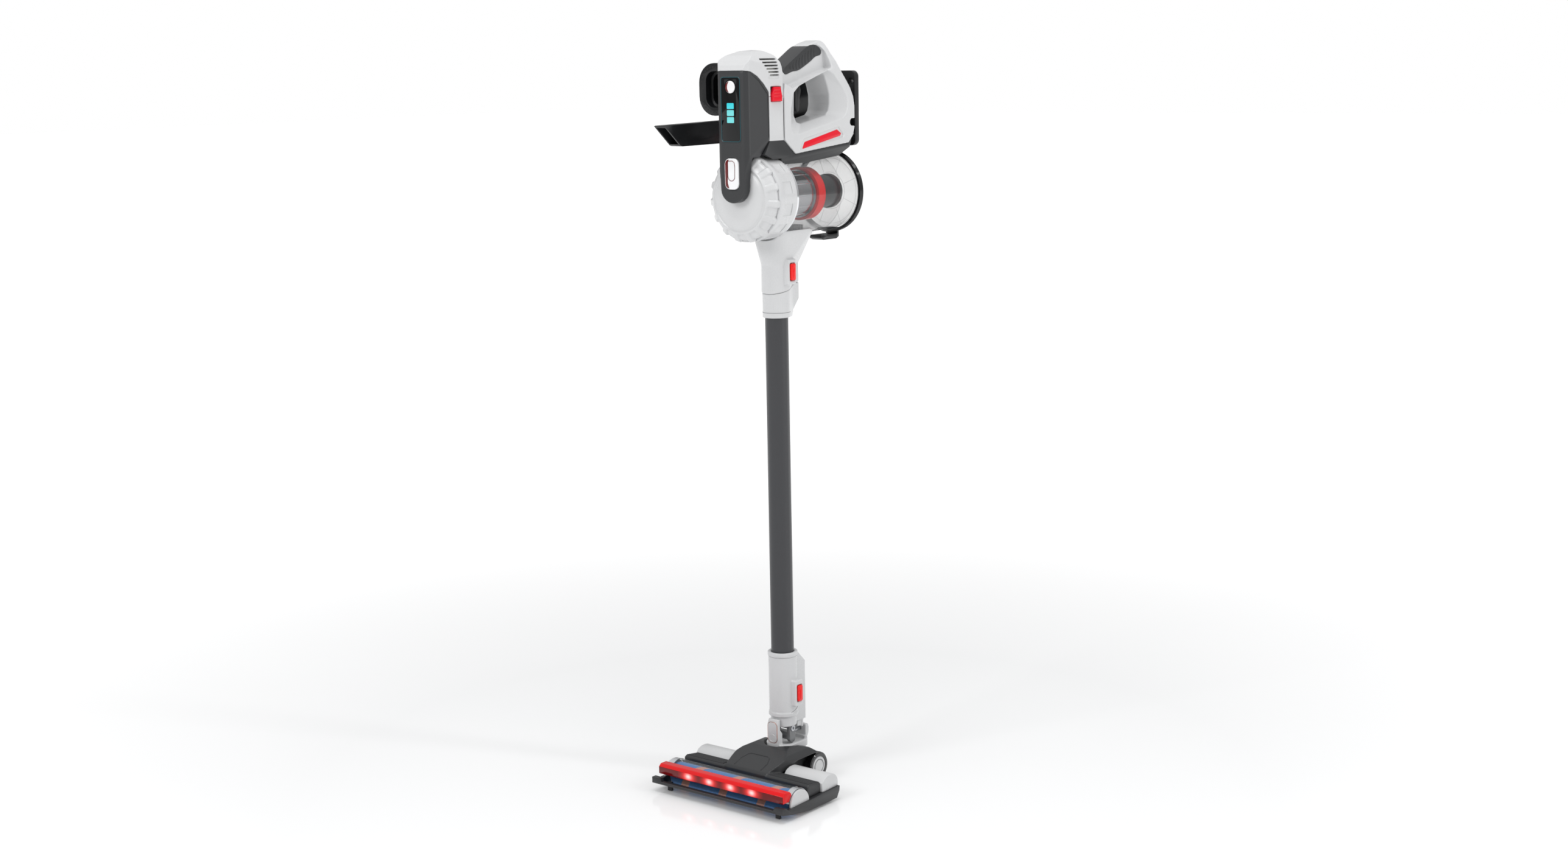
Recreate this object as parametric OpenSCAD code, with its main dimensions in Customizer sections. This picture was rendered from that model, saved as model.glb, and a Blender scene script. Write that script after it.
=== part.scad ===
// Cordless stick vacuum parked on its wall dock, with two spare tools.
// Origin: on the floor, under the middle of the footprint, which is also the wand's axis.
// +X is the user's right, -Y is the front of the floor head, +Z is up. Millimetres.

/* [Wand] */
// Outer radius of the wand tube
wand_r = 17.5; // [16:0.5:18]
// Wall of the wand tube
wand_wall = 1.5; // [1:0.1:2]
// Height of the lower end of the visible tube
wand_low = 205; // [203:1:207]
// Height of the upper end of the visible tube
wand_high = 721; // [719:1:723]

/* [Dust cup] */
// Height of the cup's axis above the floor
cup_z = 902; // [901.5:0.1:902.2]
// Outer radius of the clear cup
cup_r = 58.5; // [58:0.1:58.5]
// Wall of the clear cup
cup_wall = 2.2; // [1.8:0.1:2.4]
// Number of grip lobes on the front cap
lobes = 15; // [9:1:18]

/* [Floor head] */
// Half width of the floor head
head_hw = 128; // [127:0.5:128]
// Radius of the soft roller
roller_r = 18.2; // [17.5:0.1:18.3]
// Radius of a rear wheel
wheel_r = 22.5; // [22.5:0.1:22.6]

/* [Upper body] */
// Half width of the handle shell
shell_hw = 36; // [35.5:0.5:36]
// Half width of the grip
grip_hw = 15; // [14.5:0.5:15]
// Half width of the front pod and column
pod_hw = 34; // [34:0.5:34.5]

/* [Fits] */
// Radial clearance of a running fit
run_fit = 0.05; // [0.03:0.01:0.08]
// Gap round a button
button_gap = 0.4; // [0.3:0.05:0.5]

/* [Hidden] */
$fn = 48;
arc_steps = 8;
front_y = -165;
back_y = 165;
roller_y = -120;
roller_z = 18.5;
wheel_y = 23;
pitch_z = 42;
lean_z = 71;
motor_y = -36;
screw_z = 83.5;
pod_front = -97;
port_top = 968.3;
port_r = 10;
port_wall = 1.8;
peg_x = -95;
brush_z = 1059;
crevice_z = 996;

// Outline helpers: points on an arc, and a rectangle with round corners.
function arc(cx, cy, r, a0, a1, n = arc_steps) =
    [for (i = [0:n]) let (a = a0 + (a1 - a0) * i / n) [cx + r * cos(a), cy + r * sin(a)]];
function round_rect(x0, y0, x1, y1, r) = concat(
    arc(x1 - r, y0 + r, r, -90, 0), arc(x1 - r, y1 - r, r, 0, 90),
    arc(x0 + r, y1 - r, r, 90, 180), arc(x0 + r, y0 + r, r, 180, 270));
// A circle whose edge carries evenly spaced lobes: r at a hollow, r + rise on a lobe.
function lobed(r, rise, count, per = 8) =
    [for (i = [0:count * per - 1]) let (a = 360 * i / (count * per))
        let (w = max(-0.55, min(0.55, cos(a * count))) / 0.55)
        [(r + rise * (1 + w) / 2) * cos(a), (r + rise * (1 + w) / 2) * sin(a)]];

// Extrusions along the three axes, from the first coordinate to the second.
module along_x(x0, x1, p) {
    translate([x0, 0, 0]) rotate([90, 0, 90]) linear_extrude(x1 - x0) polygon(p);
}
module along_y(y0, y1, p) {
    translate([0, y1, 0]) rotate([90, 0, 0]) linear_extrude(y1 - y0) polygon(p);
}
module along_z(z0, z1, p) {
    translate([0, 0, z0]) linear_extrude(z1 - z0) polygon(p);
}
module rod_x(r, x0, x1, y, z) {
    translate([x0, y, z]) rotate([0, 90, 0]) cylinder(r = r, h = x1 - x0);
}
module rod_y(r, y0, y1, x, z) {
    translate([x, y0, z]) rotate([-90, 0, 0]) cylinder(r = r, h = y1 - y0);
}
module rod_z(r, z0, z1, x, y) {
    translate([x, y, z0]) cylinder(r = r, h = z1 - z0);
}
module block(x0, x1, y0, y1, z0, z1) {
    translate([x0, y0, z0]) cube([x1 - x0, y1 - y0, z1 - z0]);
}
module ring_y(r_out, r_in, y0, y1, x, z) {
    difference() {
        rod_y(r_out, y0, y1, x, z);
        rod_y(r_in, y0 - 1, y1 + 1, x, z);
    }
}
module ring_x(r_out, r_in, x0, x1, y, z) {
    difference() {
        rod_x(r_out, x0, x1, y, z);
        rod_x(r_in, x0 - 1, x1 + 1, y, z);
    }
}
module both_sides() {
    children();
    mirror([1, 0, 0]) children();
}

// ---- Wall dock -------------------------------------------------------------
dock_low = 970;
dock_high = 1083;
dock_hw = 35;
hole_x = 27;
hole_low = 988;
hole_high = 1067;

module dock_plate() {
    arm_low = 980;
    arm_high = 1078;
    arm_left = -118;
    color([0.13, 0.13, 0.14]) difference() {
        union() {
            along_y(155.5, back_y, round_rect(-dock_hw, dock_low, dock_hw, dock_high, 9));
            along_y(157.5, back_y, round_rect(arm_left, arm_low, -dock_hw + 12, arm_high, 12));
        }
        for (x = [-hole_x, hole_x], z = [hole_low, hole_high]) {
            rod_y(2.6, 150, 170, x, z);
            rod_y(5, 150, 158, x, z);
        }
    }
}

module dock_hook() {
    color([0.1, 0.1, 0.11]) union() {
        along_x(-28, 28, concat([[155.5, 1000], [155.5, 1012]], arc(149.5, 1006, 6, 90, 270)));
        along_x(-8, 8, [[155.5, 985], [155.5, 1000], [151, 1000]]);
    }
}

module dock_contacts() {
    color([0.8, 0.65, 0.3]) for (x = [-9, 9]) block(x - 1.5, x + 1.5, 154.2, 155.5, 1020, 1030);
}

module tool_pegs() {
    color([0.13, 0.13, 0.14]) for (z = [brush_z, crevice_z]) union() {
        rod_y(15.5, 110, 151, peg_x, z);
        rod_y(19, 151, 157.5, peg_x, z);
    }
}

// ---- Spare tools -----------------------------------------------------------
module dusting_brush() {
    color([0.1, 0.1, 0.11]) difference() {
        union() {
            along_y(-20, -8, round_rect(-125.4, 1020, -64.6, 1098, 29));
            hull() {
                along_y(-8, 4, round_rect(-123.4, 1022, -66.6, 1096, 27));
                rod_y(20, 66, 70, peg_x, brush_z, $fn = 32);
            }
            rod_y(19, 70, 151, peg_x, brush_z);
        }
        along_y(-21, -7, round_rect(-112, 1032, -78, 1086, 15));
        hull() {
            along_y(-8.1, 0, round_rect(-109, 1036, -81, 1082, 12));
            rod_y(13, 66, 68, peg_x, brush_z, $fn = 32);
        }
        rod_y(13, 60, 110, peg_x, brush_z);
        rod_y(15.5 + run_fit, 110, 152, peg_x, brush_z);
    }
}

module crevice_tool() {
    tip = [[-145, 1009], [-143, 1010], [60, 1014], [60, 980], [-108, 978.5], [-112, 980]];
    bore = [[-152, 1006.5], [55, 1011], [55, 983], [-109, 981.8], [-118, 981.8]];
    color([0.1, 0.1, 0.11]) difference() {
        union() {
            along_x(peg_x - 11, peg_x + 11, tip);
            hull() {
                block(peg_x - 11, peg_x + 11, 56, 58, 980, 1014);
                rod_y(19, 78, 80, peg_x, crevice_z, $fn = 32);
            }
            rod_y(19, 80, 151, peg_x, crevice_z);
        }
        along_x(peg_x - 8.5, peg_x + 8.5, bore);
        rod_y(13, 50, 110, peg_x, crevice_z);
        rod_y(15.5 + run_fit, 110, 152, peg_x, crevice_z);
    }
}

// ---- Dust cup --------------------------------------------------------------
cap_face = -82;
cap_back = -66;
house_back = -24;
cup_front = -19;
cup_back = 128;
seam_z = 761.7;
seam_slope = 0.212;
lid_hinge_y = 133;
lid_hinge_z = 963.5;
latch_y = 104;
latch_z = 834;
pivot_r = 1.5;

module filter_housing() {
    pockets = 12;
    color([0.9, 0.9, 0.9]) difference() {
        union() {
            rod_y(64, -65.7, -58, 0, cup_z, $fn = 96);
            rod_y(62.5, -58, house_back, 0, cup_z, $fn = 96);
            rod_z(port_r + port_wall, cup_z + 50, port_top, 0, motor_y);
        }
        difference() {
            rod_y(57, -66, house_back - 2.5, 0, cup_z, $fn = 96);
            rod_z(port_r + port_wall, cup_z + 50, port_top, 0, motor_y);
        }
        rod_y(30, -30, 0, 0, cup_z);
        rod_z(port_r, cup_z, port_top + 1, 0, motor_y);
        for (i = [0:pockets - 1]) let (a = 15 + i * 30) if (abs(a - 90) > 20)
            rotate_about_cup(a) block(61.2, 66, -52, -34, -9, 9);
    }
}
module rotate_about_cup(a) {
    translate([0, 0, cup_z]) rotate([0, -a, 0]) children();
}

module pre_filter() {
    color([0.25, 0.25, 0.27]) difference() {
        ring_y(55, 31, -62, -28, 0, cup_z);
        rod_z(port_r + port_wall + 0.3, cup_z + 40, cup_z + 60, 0, motor_y);
    }
}

module front_cap() {
    color([0.93, 0.93, 0.93]) difference() {
        union() {
            translate([0, 0, cup_z]) along_y(-74, cap_back, lobed(60.5, 4, lobes));
            translate([0, 0, cup_z]) rotate([-90, 0, 0]) rotate_extrude($fn = 96)
                polygon([[0, cap_face], [44.5, cap_face], [45, cap_face + 0.8], [47.5, cap_face + 0.8],
                         [48, cap_face], [50, cap_face + 0.5], [62, -74], [62, -73], [0, -73]]);
            translate([0, 0, cup_z]) along_y(-78, -74, lobed(57, 3.5, lobes));
        }
        rod_y(54, -74, cap_back + 1, 0, cup_z);
    }
}

module flange_ring() {
    color([0.4, 0.4, 0.42]) ring_y(61.5, 34, house_back, cup_front, 0, cup_z);
}

module cup_shell() {
    color([0.8, 0.85, 0.88, 0.35]) difference() {
        union() {
            rod_y(cup_r, cup_front, cup_back, 0, cup_z, $fn = 96);
            rod_y(cup_r + 2, 122, cup_back, 0, cup_z, $fn = 96);
            both_sides() block(10.8, 14.5, 124.5, lid_hinge_y + 2.6, 960, 966);
            both_sides() block(11.3, 14.5, latch_y - 4, latch_y + 4, latch_z - 4, 846);
        }
        rod_y(cup_r - cup_wall, cup_front - 1, cup_back + 0.01, 0, cup_z, $fn = 96);
        rod_z(14, cup_z - 70, cup_z - 40, 0, 0);
        rod_x(pivot_r + run_fit, -20, 20, lid_hinge_y, lid_hinge_z);
        rod_x(pivot_r + run_fit, -20, 20, latch_y, latch_z);
    }
}

module cup_neck() {
    color([0.9, 0.9, 0.9]) difference() {
        union() {
            hull() {
                along_z(846, 864, round_rect(-30, -30, 30, 66, 22));
                along_z(800, 806, concat(arc(0, 0, 22, 155, 385, 24), [[9, 30], [9, 43.5], [-9, 43.5],
                    [-9, 30]]));
            }
            along_z(735, 806, concat(arc(0, 0, 22, 155, 385, 24), [[9, 30], [9, 43.5], [-9, 43.5],
                [-9, 30]]));
            along_z(771, 809, round_rect(14, -6, 29.5, 13, 3));
        }
        rod_y(cup_r, cup_front, 200, 0, cup_z, $fn = 96);
        rod_y(61.5, house_back, cup_front, 0, cup_z, $fn = 96);
        rod_y(64.3, -100, house_back, 0, cup_z, $fn = 96);
        rod_z(18 + run_fit, 700, 802, 0, 0);
        rod_z(14, 800, 870, 0, 0);
        along_x(-60, 60, [[-60, seam_z - 60 * seam_slope], [80, seam_z + 80 * seam_slope], [80, 700],
            [-60, 700]]);
        block(24.5, 31, -2 - button_gap, 10 + button_gap, 777 - button_gap, 803 + button_gap);
    }
}

module neck_button() {
    color([0.85, 0.08, 0.08]) along_y(-2, 10, [[27, 777], [30.2, 777], [32.2, 784], [32.2, 795],
        [30.6, 803], [27, 803]]);
}

module inlet_comb() {
    color([0.1, 0.1, 0.1]) union() {
        block(-9, 9, 30, 58, cup_z - 55.6, cup_z - 54);
        for (i = [0:5]) block(-8, 8, 32 + i * 4.6, 34 + i * 4.6, cup_z - 55, cup_z - 46);
    }
}

module mesh_filter() {
    color([0.6, 0.6, 0.62]) difference() {
        union() {
            rod_y(33.5, house_back, 54, 0, cup_z, $fn = 72);
            rod_y(36, 54, 57, 0, cup_z, $fn = 72);
        }
        rod_y(31.7, house_back - 1, 52, 0, cup_z, $fn = 72);
        rod_y(22, 50, 60, 0, cup_z);
    }
}

module filter_ring() {
    color([0.9, 0.1, 0.08]) difference() {
        rod_y(40, 57, 73, 0, cup_z, $fn = 96);
        rod_y(37, 59, 74, 0, cup_z, $fn = 96);
        rod_y(24, 56, 60, 0, cup_z);
    }
}

module cyclone_tube() {
    color([0.35, 0.36, 0.38]) translate([0, 0, cup_z]) rotate([-90, 0, 0]) rotate_extrude($fn = 72)
        polygon([[22, 57], [24, 57], [24, 59], [30, 60], [30, 64], [24, 122], [22, 122], [28, 64],
            [28, 61.5], [22, 61]]);
}

module rear_lid() {
    color([0.8, 0.85, 0.88, 0.35]) difference() {
        rod_y(cup_r, 129, 135, 0, cup_z, $fn = 96);
        rod_y(cup_r - 2, 128, 133, 0, cup_z, $fn = 96);
        both_sides() block(10.4, 15, 128, 138, 958.6, 970);
    }
}
module lid_rim() {
    color([0.08, 0.08, 0.08]) union() {
        difference() {
            ring_y(62.5, cup_r, 129, 137.5, 0, cup_z);
            both_sides() block(10.4, 15, 128, 138, 955, 970);
        }
        rod_x(2.6, -10.4, 10.4, lid_hinge_y, lid_hinge_z);
        rod_x(pivot_r, -14.5, 14.5, lid_hinge_y, lid_hinge_z);
    }
}
module lid_disc() {
    color([0.07, 0.07, 0.07]) union() {
        rod_y(26, 126.5, 133, 0, cup_z);
        rod_y(23.5, 122.5, 126.5, 0, cup_z);
    }
}
module lid_latch() {
    color([0.06, 0.06, 0.06]) union() {
        along_x(-11, 11, [[98, 836.5], [142, 836.5], [142, 832], [136, 829], [104, 829], [98, 832]]);
        along_x(-11, 11, [[138.2, 836.5], [142, 836.5], [142, 846], [138.2, 846]]);
        rod_x(pivot_r, -14.5, 14.5, latch_y, latch_z);
    }
}

// ---- Main body -------------------------------------------------------------
pod_plan = [[-34, -17], [-34, -52], [-30, -80], [-28.5, -90], [-24, -95.5], [-19, pod_front],
            [19, pod_front], [24, -95.5], [28.5, -90], [30, -80], [34, -52], [34, -17]];

module body_column() {
    color([0.92, 0.92, 0.92]) difference() {
        along_x(-pod_hw, pod_hw, [[-50.3, 985.2], [-17.7, 985.2], [-17.7, 1048.8], [-50.3, 1048.8]]);
        block(-31, 31, -52, -15, 988.2, 1045.8);
        rod_z(port_r, 980, 990, 0, motor_y);
        rod_z(13, 1040, 1060, 0, motor_y);
        block(30, 40, -46.5, -22, 1041.5, 1050);
    }
}

pod_side = [[-98, 890], [-98, 1087], [-97, 1086.5], [-85, 1085], [-72, 1078], [-60, 1067], [-50.5, 1055],
            [-50.5, 985], [-83, 940], [-83, 890]];
pod_front_view = concat([[-34, 1090], [-34, 990], [-25.5, 948], [-23, 930]],
    arc(0, 919.5, 22.5, 180, 360, 16), [[23, 930], [25.5, 948], [34, 990], [34, 1090]]);

module pod_shell() {
    color([0.22, 0.22, 0.23]) difference() {
        intersection() {
            along_z(890, 1090, pod_plan);
            along_x(-40, 40, pod_side);
            along_y(-100, -40, pod_front_view);
        }
        along_z(988, 1052, [[-31, -45], [-31, -53], [-27, -80], [-22, -92], [22, -92], [27, -80],
            [31, -53], [31, -45]]);
        along_z(906, 992, round_rect(-17, -93, 17, -85.2, 3));
        rod_y(66.3, -83, 0, 0, cup_z, $fn = 96);
        along_y(-99, -95.6, round_rect(-17.5, 986, 17.5, 1078, 4));
        along_y(-99, -90, round_rect(-13 - button_gap, 917 - button_gap, 13 + button_gap,
            962 + button_gap, 9));
        rod_y(10, -99, -90, 0, 1064);
    }
}

module display_glass() {
    color([0.03, 0.03, 0.04]) difference() {
        along_y(pod_front, -95.6, round_rect(-17.5, 986, 17.5, 1078, 4));
        rod_y(9 + button_gap, -99, -90, 0, 1064);
    }
}

module power_button() {
    color([0.95, 0.95, 0.95]) rod_y(9, -98, -92.2, 0, 1064);
}

module release_button() {
    color([0.95, 0.95, 0.95]) along_y(-98, -90.3, round_rect(-13, 917, 13, 962, 9));
}

cover_side = concat([[-97, 1087.2], [-85, 1085.6], [-72, 1078.6], [-60, 1067.6], [-50.5, 1055.6],
    [-50.5, 1049.2],
    [-17.9, 1049.2], [-17.9, 1092]], arc(-46, 1088, 28, 10, 90, 6), [[-62, 1114.5], [-78, 1108.5],
        [-88, 1102], [-94, 1095]]);
cover_front_view = [[-34, 1040], [-34, 1084], [-31.5, 1098], [-25, 1108], [-13, 1114.5], [0, 1116.2],
    [13, 1114.5], [25, 1108], [31.5, 1098], [34, 1084], [34, 1040]];

module exhaust_cover() {
    color([0.92, 0.92, 0.92]) difference() {
        intersection() {
            along_z(1040, 1120, pod_plan);
            along_x(-40, 40, cover_side);
            along_y(-100, -10, cover_front_view);
        }
        intersection() {
            along_x(-31, 31, [[-86, 1088.5], [-70, 1081], [-47, 1059], [-47, 1045], [-21, 1045], [-21, 1094],
                [-30, 1106], [-46, 1112], [-62, 1111], [-78, 1104]]);
            along_y(-100, -10, [[-31, 1040], [-31, 1084], [-28, 1097], [-23, 1105], [-12, 1111.5],
                [12, 1111.5], [23, 1105], [28, 1097], [31, 1084], [31, 1040]]);
            along_z(1040, 1120, [[-31, -10], [-31, -54], [-27, -80], [-25, -90], [25, -90], [27, -80], [31, -54],
                [31, -10]]);
        }
        for (i = [0:5]) both_sides()
            block(18, 40, -64 + i * 3.4, -26, 1101.5 - i * 4.6, 1103.7 - i * 4.6);
        block(30, 40, -46.5, -22, 1048, 1063.5);
    }
}

module exhaust_filter() {
    color([0.85, 0.85, 0.82]) difference() {
        block(-24, 24, -66, -23, 1070, 1090);
        along_x(-25, 25, [[-67, 1069], [-55, 1069], [-67, 1081]]);
    }
}

module cover_latch() {
    color([0.85, 0.08, 0.12]) difference() {
        along_x(32, 36.6, [[-45.5, 1042], [-23, 1042], [-23, 1050], [-27, 1062.8], [-41, 1062.8],
            [-45.5, 1052]]);
        for (z = [1047, 1051.5, 1056]) block(36, 37, -41, -28, z, z + 1.8);
    }
}

module motor_housing() {
    color([0.3, 0.3, 0.32]) difference() {
        rod_z(26, 988.4, 1045.6, 0, motor_y);
        rod_z(24, 990.4, 1046, 0, motor_y);
        rod_z(port_r, 980, 991, 0, motor_y);
    }
}

shaft_r = 2.5;
module motor_frame() {
    color([0.55, 0.45, 0.3]) difference() {
        rod_z(23.95, 1007, 1038, 0, motor_y);
        rod_z(12.5, 1010, 1035, 0, motor_y);
        rod_z(shaft_r + run_fit, 1000, 1040, 0, motor_y);
        for (a = [0:60:300]) translate([18.5 * cos(a), motor_y + 18.5 * sin(a), 1000]) cylinder(r = 3,
            h = 50);
    }
}

module motor_rotor() {
    color([0.6, 0.6, 0.62]) union() {
        rod_z(shaft_r, 993, 1042, 0, motor_y);
        rod_z(11.5, 1011, 1034, 0, motor_y);
    }
}

module impeller() {
    color([0.75, 0.75, 0.78]) difference() {
        union() {
            rod_z(21, 1001, 1003.5, 0, motor_y);
            rod_z(6, 994, 1005.5, 0, motor_y);
            for (a = [0:40:320]) translate([0, motor_y, 0]) rotate([0, 0, a]) block(5, 20, -0.7, 0.7,
                995, 1001.5);
        }
        rod_z(shaft_r, 990, 1010, 0, motor_y);
    }
}

module circuit_board() {
    color([0.1, 0.4, 0.2]) block(-19, 19, -91.8, -90.2, 992, 1048);
}

handle_outer = concat([[-17, 985.3], [8, 964], [138, 975.3], [149, 986.5], [153.5, 1000], [153.5, 1030],
    [150, 1046], [145, 1059], [127, 1086], [112, 1111]], arc(97, 1117, 12, 15, 110, 6),
    [[78, 1124.5], [62, 1118.9], [15, 1092.4], [12, 1091], [2, 1082], [-9, 1073], [-17, 1050]]);
loop_rim = [[-3, 1024], [-2, 1002], [2, 995], [13, 991.5], [123, 1012], [132, 1018], [136.5, 1028],
    [136.5, 1041], [133, 1053], [117, 1078], [104, 1087], [40, 1066], [20, 1063], [4, 1052]];
loop_core = [[26, 1060], [24, 1020], [30, 1010], [40, 1007], [100, 1018], [107, 1024], [110, 1034],
    [110, 1048], [106, 1060], [98, 1077.5], [90, 1081.5], [40, 1065]];
grip_under = [[96, 1107], [84, 1105], [73, 1098], [44, 1085], [28, 1084], [13, 1079]];
grip_side = concat([[5, 1084.7], [12, 1091], [15, 1092.4], [62, 1118.9], [72, 1121.3], [80, 1122.2],
    [87, 1121.6],
    [94, 1118.6], [98.5, 1114], [99, 1109.5]], grip_under);
grip_inner = concat([[7, 1084.4], [13.5, 1089.6], [62.6, 1116.8], [72.5, 1119.4], [80, 1120.3],
    [86.4, 1119.8],
    [93, 1117], [96.8, 1113], [97.2, 1110.2]], grip_under);
strip_side = [[38, 1063.8], [58, 1070.4], [63, 1067.8], [90, 1076.8], [97, 1079.2], [100, 1082.5],
    [98, 1087.5],
    [92, 1088.5], [38, 1070.2]];
strip_hw = 11;
flare_in = 20;
trigger_hw = 8;
handle_front_view = [[-36, 950], [-36, 1046], [-32, 1072], [-27, 1098], [-20, 1116], [-12, 1130],
    [12, 1130], [20, 1116], [27, 1098], [32, 1072], [36, 1046], [36, 950]];
window_side = [[24, 970.5], [30, 980.5], [109.5, 996], [119.5, 990], [117, 986.5]];
recess_side = [[17, 968.5], [26.5, 986], [114, 1001.5], [127, 988], [124, 982]];

module handle_shell() {
    color([0.92, 0.92, 0.92]) difference() {
        intersection() {
            along_x(-shell_hw, shell_hw, handle_outer);
            along_y(-30, 160, handle_front_view);
        }
        along_x(-40, 40, loop_core);
        both_sides() hull() {
            along_x(flare_in, flare_in + 0.1, loop_core);
            along_x(shell_hw, 40, loop_rim);
        }
        // The bar is slimmer than the shell behind it.
        both_sides() along_x(grip_hw, 40, [[-20, 1072], [6, 1060], [107, 1088], [101, 1112], [90, 1124],
            [70, 1130],
            [-20, 1130]]);
        // Seats of the grip, the strip and the windows.
        difference() {
            along_x(-20, 20, grip_side);
            along_x(-13.2, 13.2, grip_inner);
        }
        along_x(-strip_hw, strip_hw, strip_side);
        block(-6, 6, 24, 40.5, 1031, 1068);
        both_sides() along_x(35, 40, recess_side);
        both_sides() along_x(34, 40, window_side);
        // Hollows for the motor housing and the cells.
        along_z(988, 1046, [[-33, -18], [33, -18], [33, -7], [15, 11], [-15, 11], [-33, -7]]);
        along_x(-33, 33, [[0, 966], [10, 960], [136, 970], [132, 984], [127, 998], [12, 984], [0, 983]]);
        // Channel for the dock's hook.
        block(-30, 30, 142.5, 160, 960, 1012);
        along_x(-40, 40, concat([[160, 1000.5], [160, 1011.5]], arc(147, 1006, 5.5, 90, 270)));
        block(-12, 12, 152, 160, 1018, 1032);
    }
}

module grip_sleeve() {
    color([0.2, 0.2, 0.2]) difference() {
        along_x(-grip_hw, grip_hw, grip_side);
        along_x(-13.2, 13.2, grip_inner);
    }
}

module grip_strip() {
    color([0.18, 0.18, 0.18]) difference() {
        union() {
            along_x(-strip_hw, strip_hw, strip_side);
            block(-6, 6, 26, 40.5, 1031, 1068);
        }
        block(-3.3, 3.3, 29.5, 41, 1041.7, 1052.3);
    }
}

module trigger() {
    color([0.15, 0.15, 0.15]) union() {
        along_x(-trigger_hw, trigger_hw, concat([[43.5, 1062.5], [54, 1065.5], [58, 1056]],
            arc(66, 1044, 11, 150, 205, 4), [[52, 1024], [46, 1024], [43.5, 1032]]));
        block(-3, 3, 33, 44, 1042, 1052);
    }
}

module side_windows() {
    color([0.8, 0.05, 0.08]) both_sides() along_x(34, 35.2, window_side);
}

module lower_housing() {
    color([0.22, 0.22, 0.23]) difference() {
        along_x(-pod_hw, pod_hw, [[-50.3, 984.8], [-17, 984.8], [8, 963.6], [138, 974.9], [148, 985],
            [142, 969], [114, 957], [-13, 946], [-62, 966.5]]);
        rod_y(66.3, -83, house_back, 0, cup_z, $fn = 96);
        rod_y(62, house_back - 1, cup_front + 0.3, 0, cup_z, $fn = 96);
        rod_y(cup_r + 0.4, -20, 120, 0, cup_z, $fn = 96);
        rod_y(63.2, 119, 160, 0, cup_z, $fn = 96);
        rod_z(port_r, 950, 990, 0, motor_y);
        rod_z(port_r + port_wall + 0.4, 950, port_top + 0.4, 0, motor_y);
        block(-32, 32, 124, 145, 950, 968.6);
        block(-30, 30, 142.5, 160, 960, 1012);
    }
}

module battery_cells() {
    color([0.2, 0.5, 0.3]) for (i = [0:5]) rod_x(9, -32.5, 32.5, 20.5 + i * 19, 974.2 + i * 1.65);
}

// ---- Wand ------------------------------------------------------------------
fin_plan = concat(arc(0, 0, 21, 155, 385, 24), [[9, 30], [9, 43.3], [-9, 43.3], [-9, 30]]);

module wand_tube() {
    color([0.23, 0.23, 0.24]) difference() {
        rod_z(wand_r, wand_low - 38, wand_high + 14, 0, 0);
        rod_z(wand_r - wand_wall, 100, 800, 0, 0);
    }
}

module wand_collar() {
    color([0.9, 0.9, 0.9]) difference() {
        union() {
            intersection() {
                along_z(wand_high, 775, fin_plan);
                along_x(-30, 30, [[-30, 600], [18, 600], [22, wand_high], [43.4, 746], [60, 746],
                    [60, seam_z + 60 * seam_slope - 0.5], [-30, seam_z - 30 * seam_slope - 0.5]]);
            }
            rod_z(18, 735, 799, 0, 0);
        }
        rod_z(wand_r, 700, wand_high + 14, 0, 0);
        rod_z(wand_r - wand_wall, 700, 810, 0, 0);
    }
}

// ---- Knee ------------------------------------------------------------------
module connector() {
    fin = [[-30, 88], [-30, 210], [14, 210], [22, 203], [43.5, 181], [43.5, 88]];
    color([0.9, 0.9, 0.9]) difference() {
        union() {
            rod_z(22, 106, wand_low, 0, 0);
            rod_z(23, 199, wand_low, 0, 0);
            rod_z(23, 104, 110, 0, 0);
            rod_z(20, 88, 106, 0, 0);
            intersection() {
                along_z(88, 210, [[-9, 0], [9, 0], [9, 43.5], [-9, 43.5]]);
                along_x(-30, 30, fin);
            }
            along_z(121, 161, round_rect(14, -6, 29.5, 13, 3));
            along_x(-9, 9, concat(arc(0, screw_z, 37.5, 12, -12), arc(0, screw_z, 34, -12, 12)));
            along_x(-7.5, 7.5, concat(arc(0, screw_z, 34, 10, -11), arc(0, screw_z, 24, -11, 10)));
        }
        rod_z(wand_r + run_fit, wand_low - 38, 240, 0, 0);
        rod_z(14, 97, wand_low, 0, 0);
        rod_z(18.5, 80, 94.5, 0, 0);
        block(24.5, 31, -2 - button_gap, 10 + button_gap, 128 - button_gap, 154 + button_gap);
    }
}

module connector_button() {
    color([0.85, 0.08, 0.08]) along_y(-2, 10, [[27, 128], [30.2, 128], [32.2, 135], [32.2, 146],
        [30.6, 154], [27, 154]]);
}

pin_r = 3;
module link_block() {
    color([0.5, 0.5, 0.52]) difference() {
        union() {
            along_x(-17, 17, concat([[6.5, 94.5], [-6.5, 94.5]], arc(0, 67.5, 6.5, 180, 360)));
        }
        block(-11, 11, -8, 8, 58, 66);
        block(-11, 11, -8, 8, 77, 90);
        rod_y(pin_r + run_fit, -10, 10, 0, lean_z);
        rod_x(2.5, -20, 20, 0, screw_z);
    }
}

module link_screw() {
    color([0.35, 0.35, 0.37]) difference() {
        union() {
            rod_x(2.5, -18, 17, 0, screw_z);
            rod_x(4.6, 17, 18.4, 0, screw_z);
        }
        translate([16.6, 0, screw_z]) rotate([0, 90, 0]) cylinder(r = 2.6, h = 3, $fn = 6);
    }
}

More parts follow.
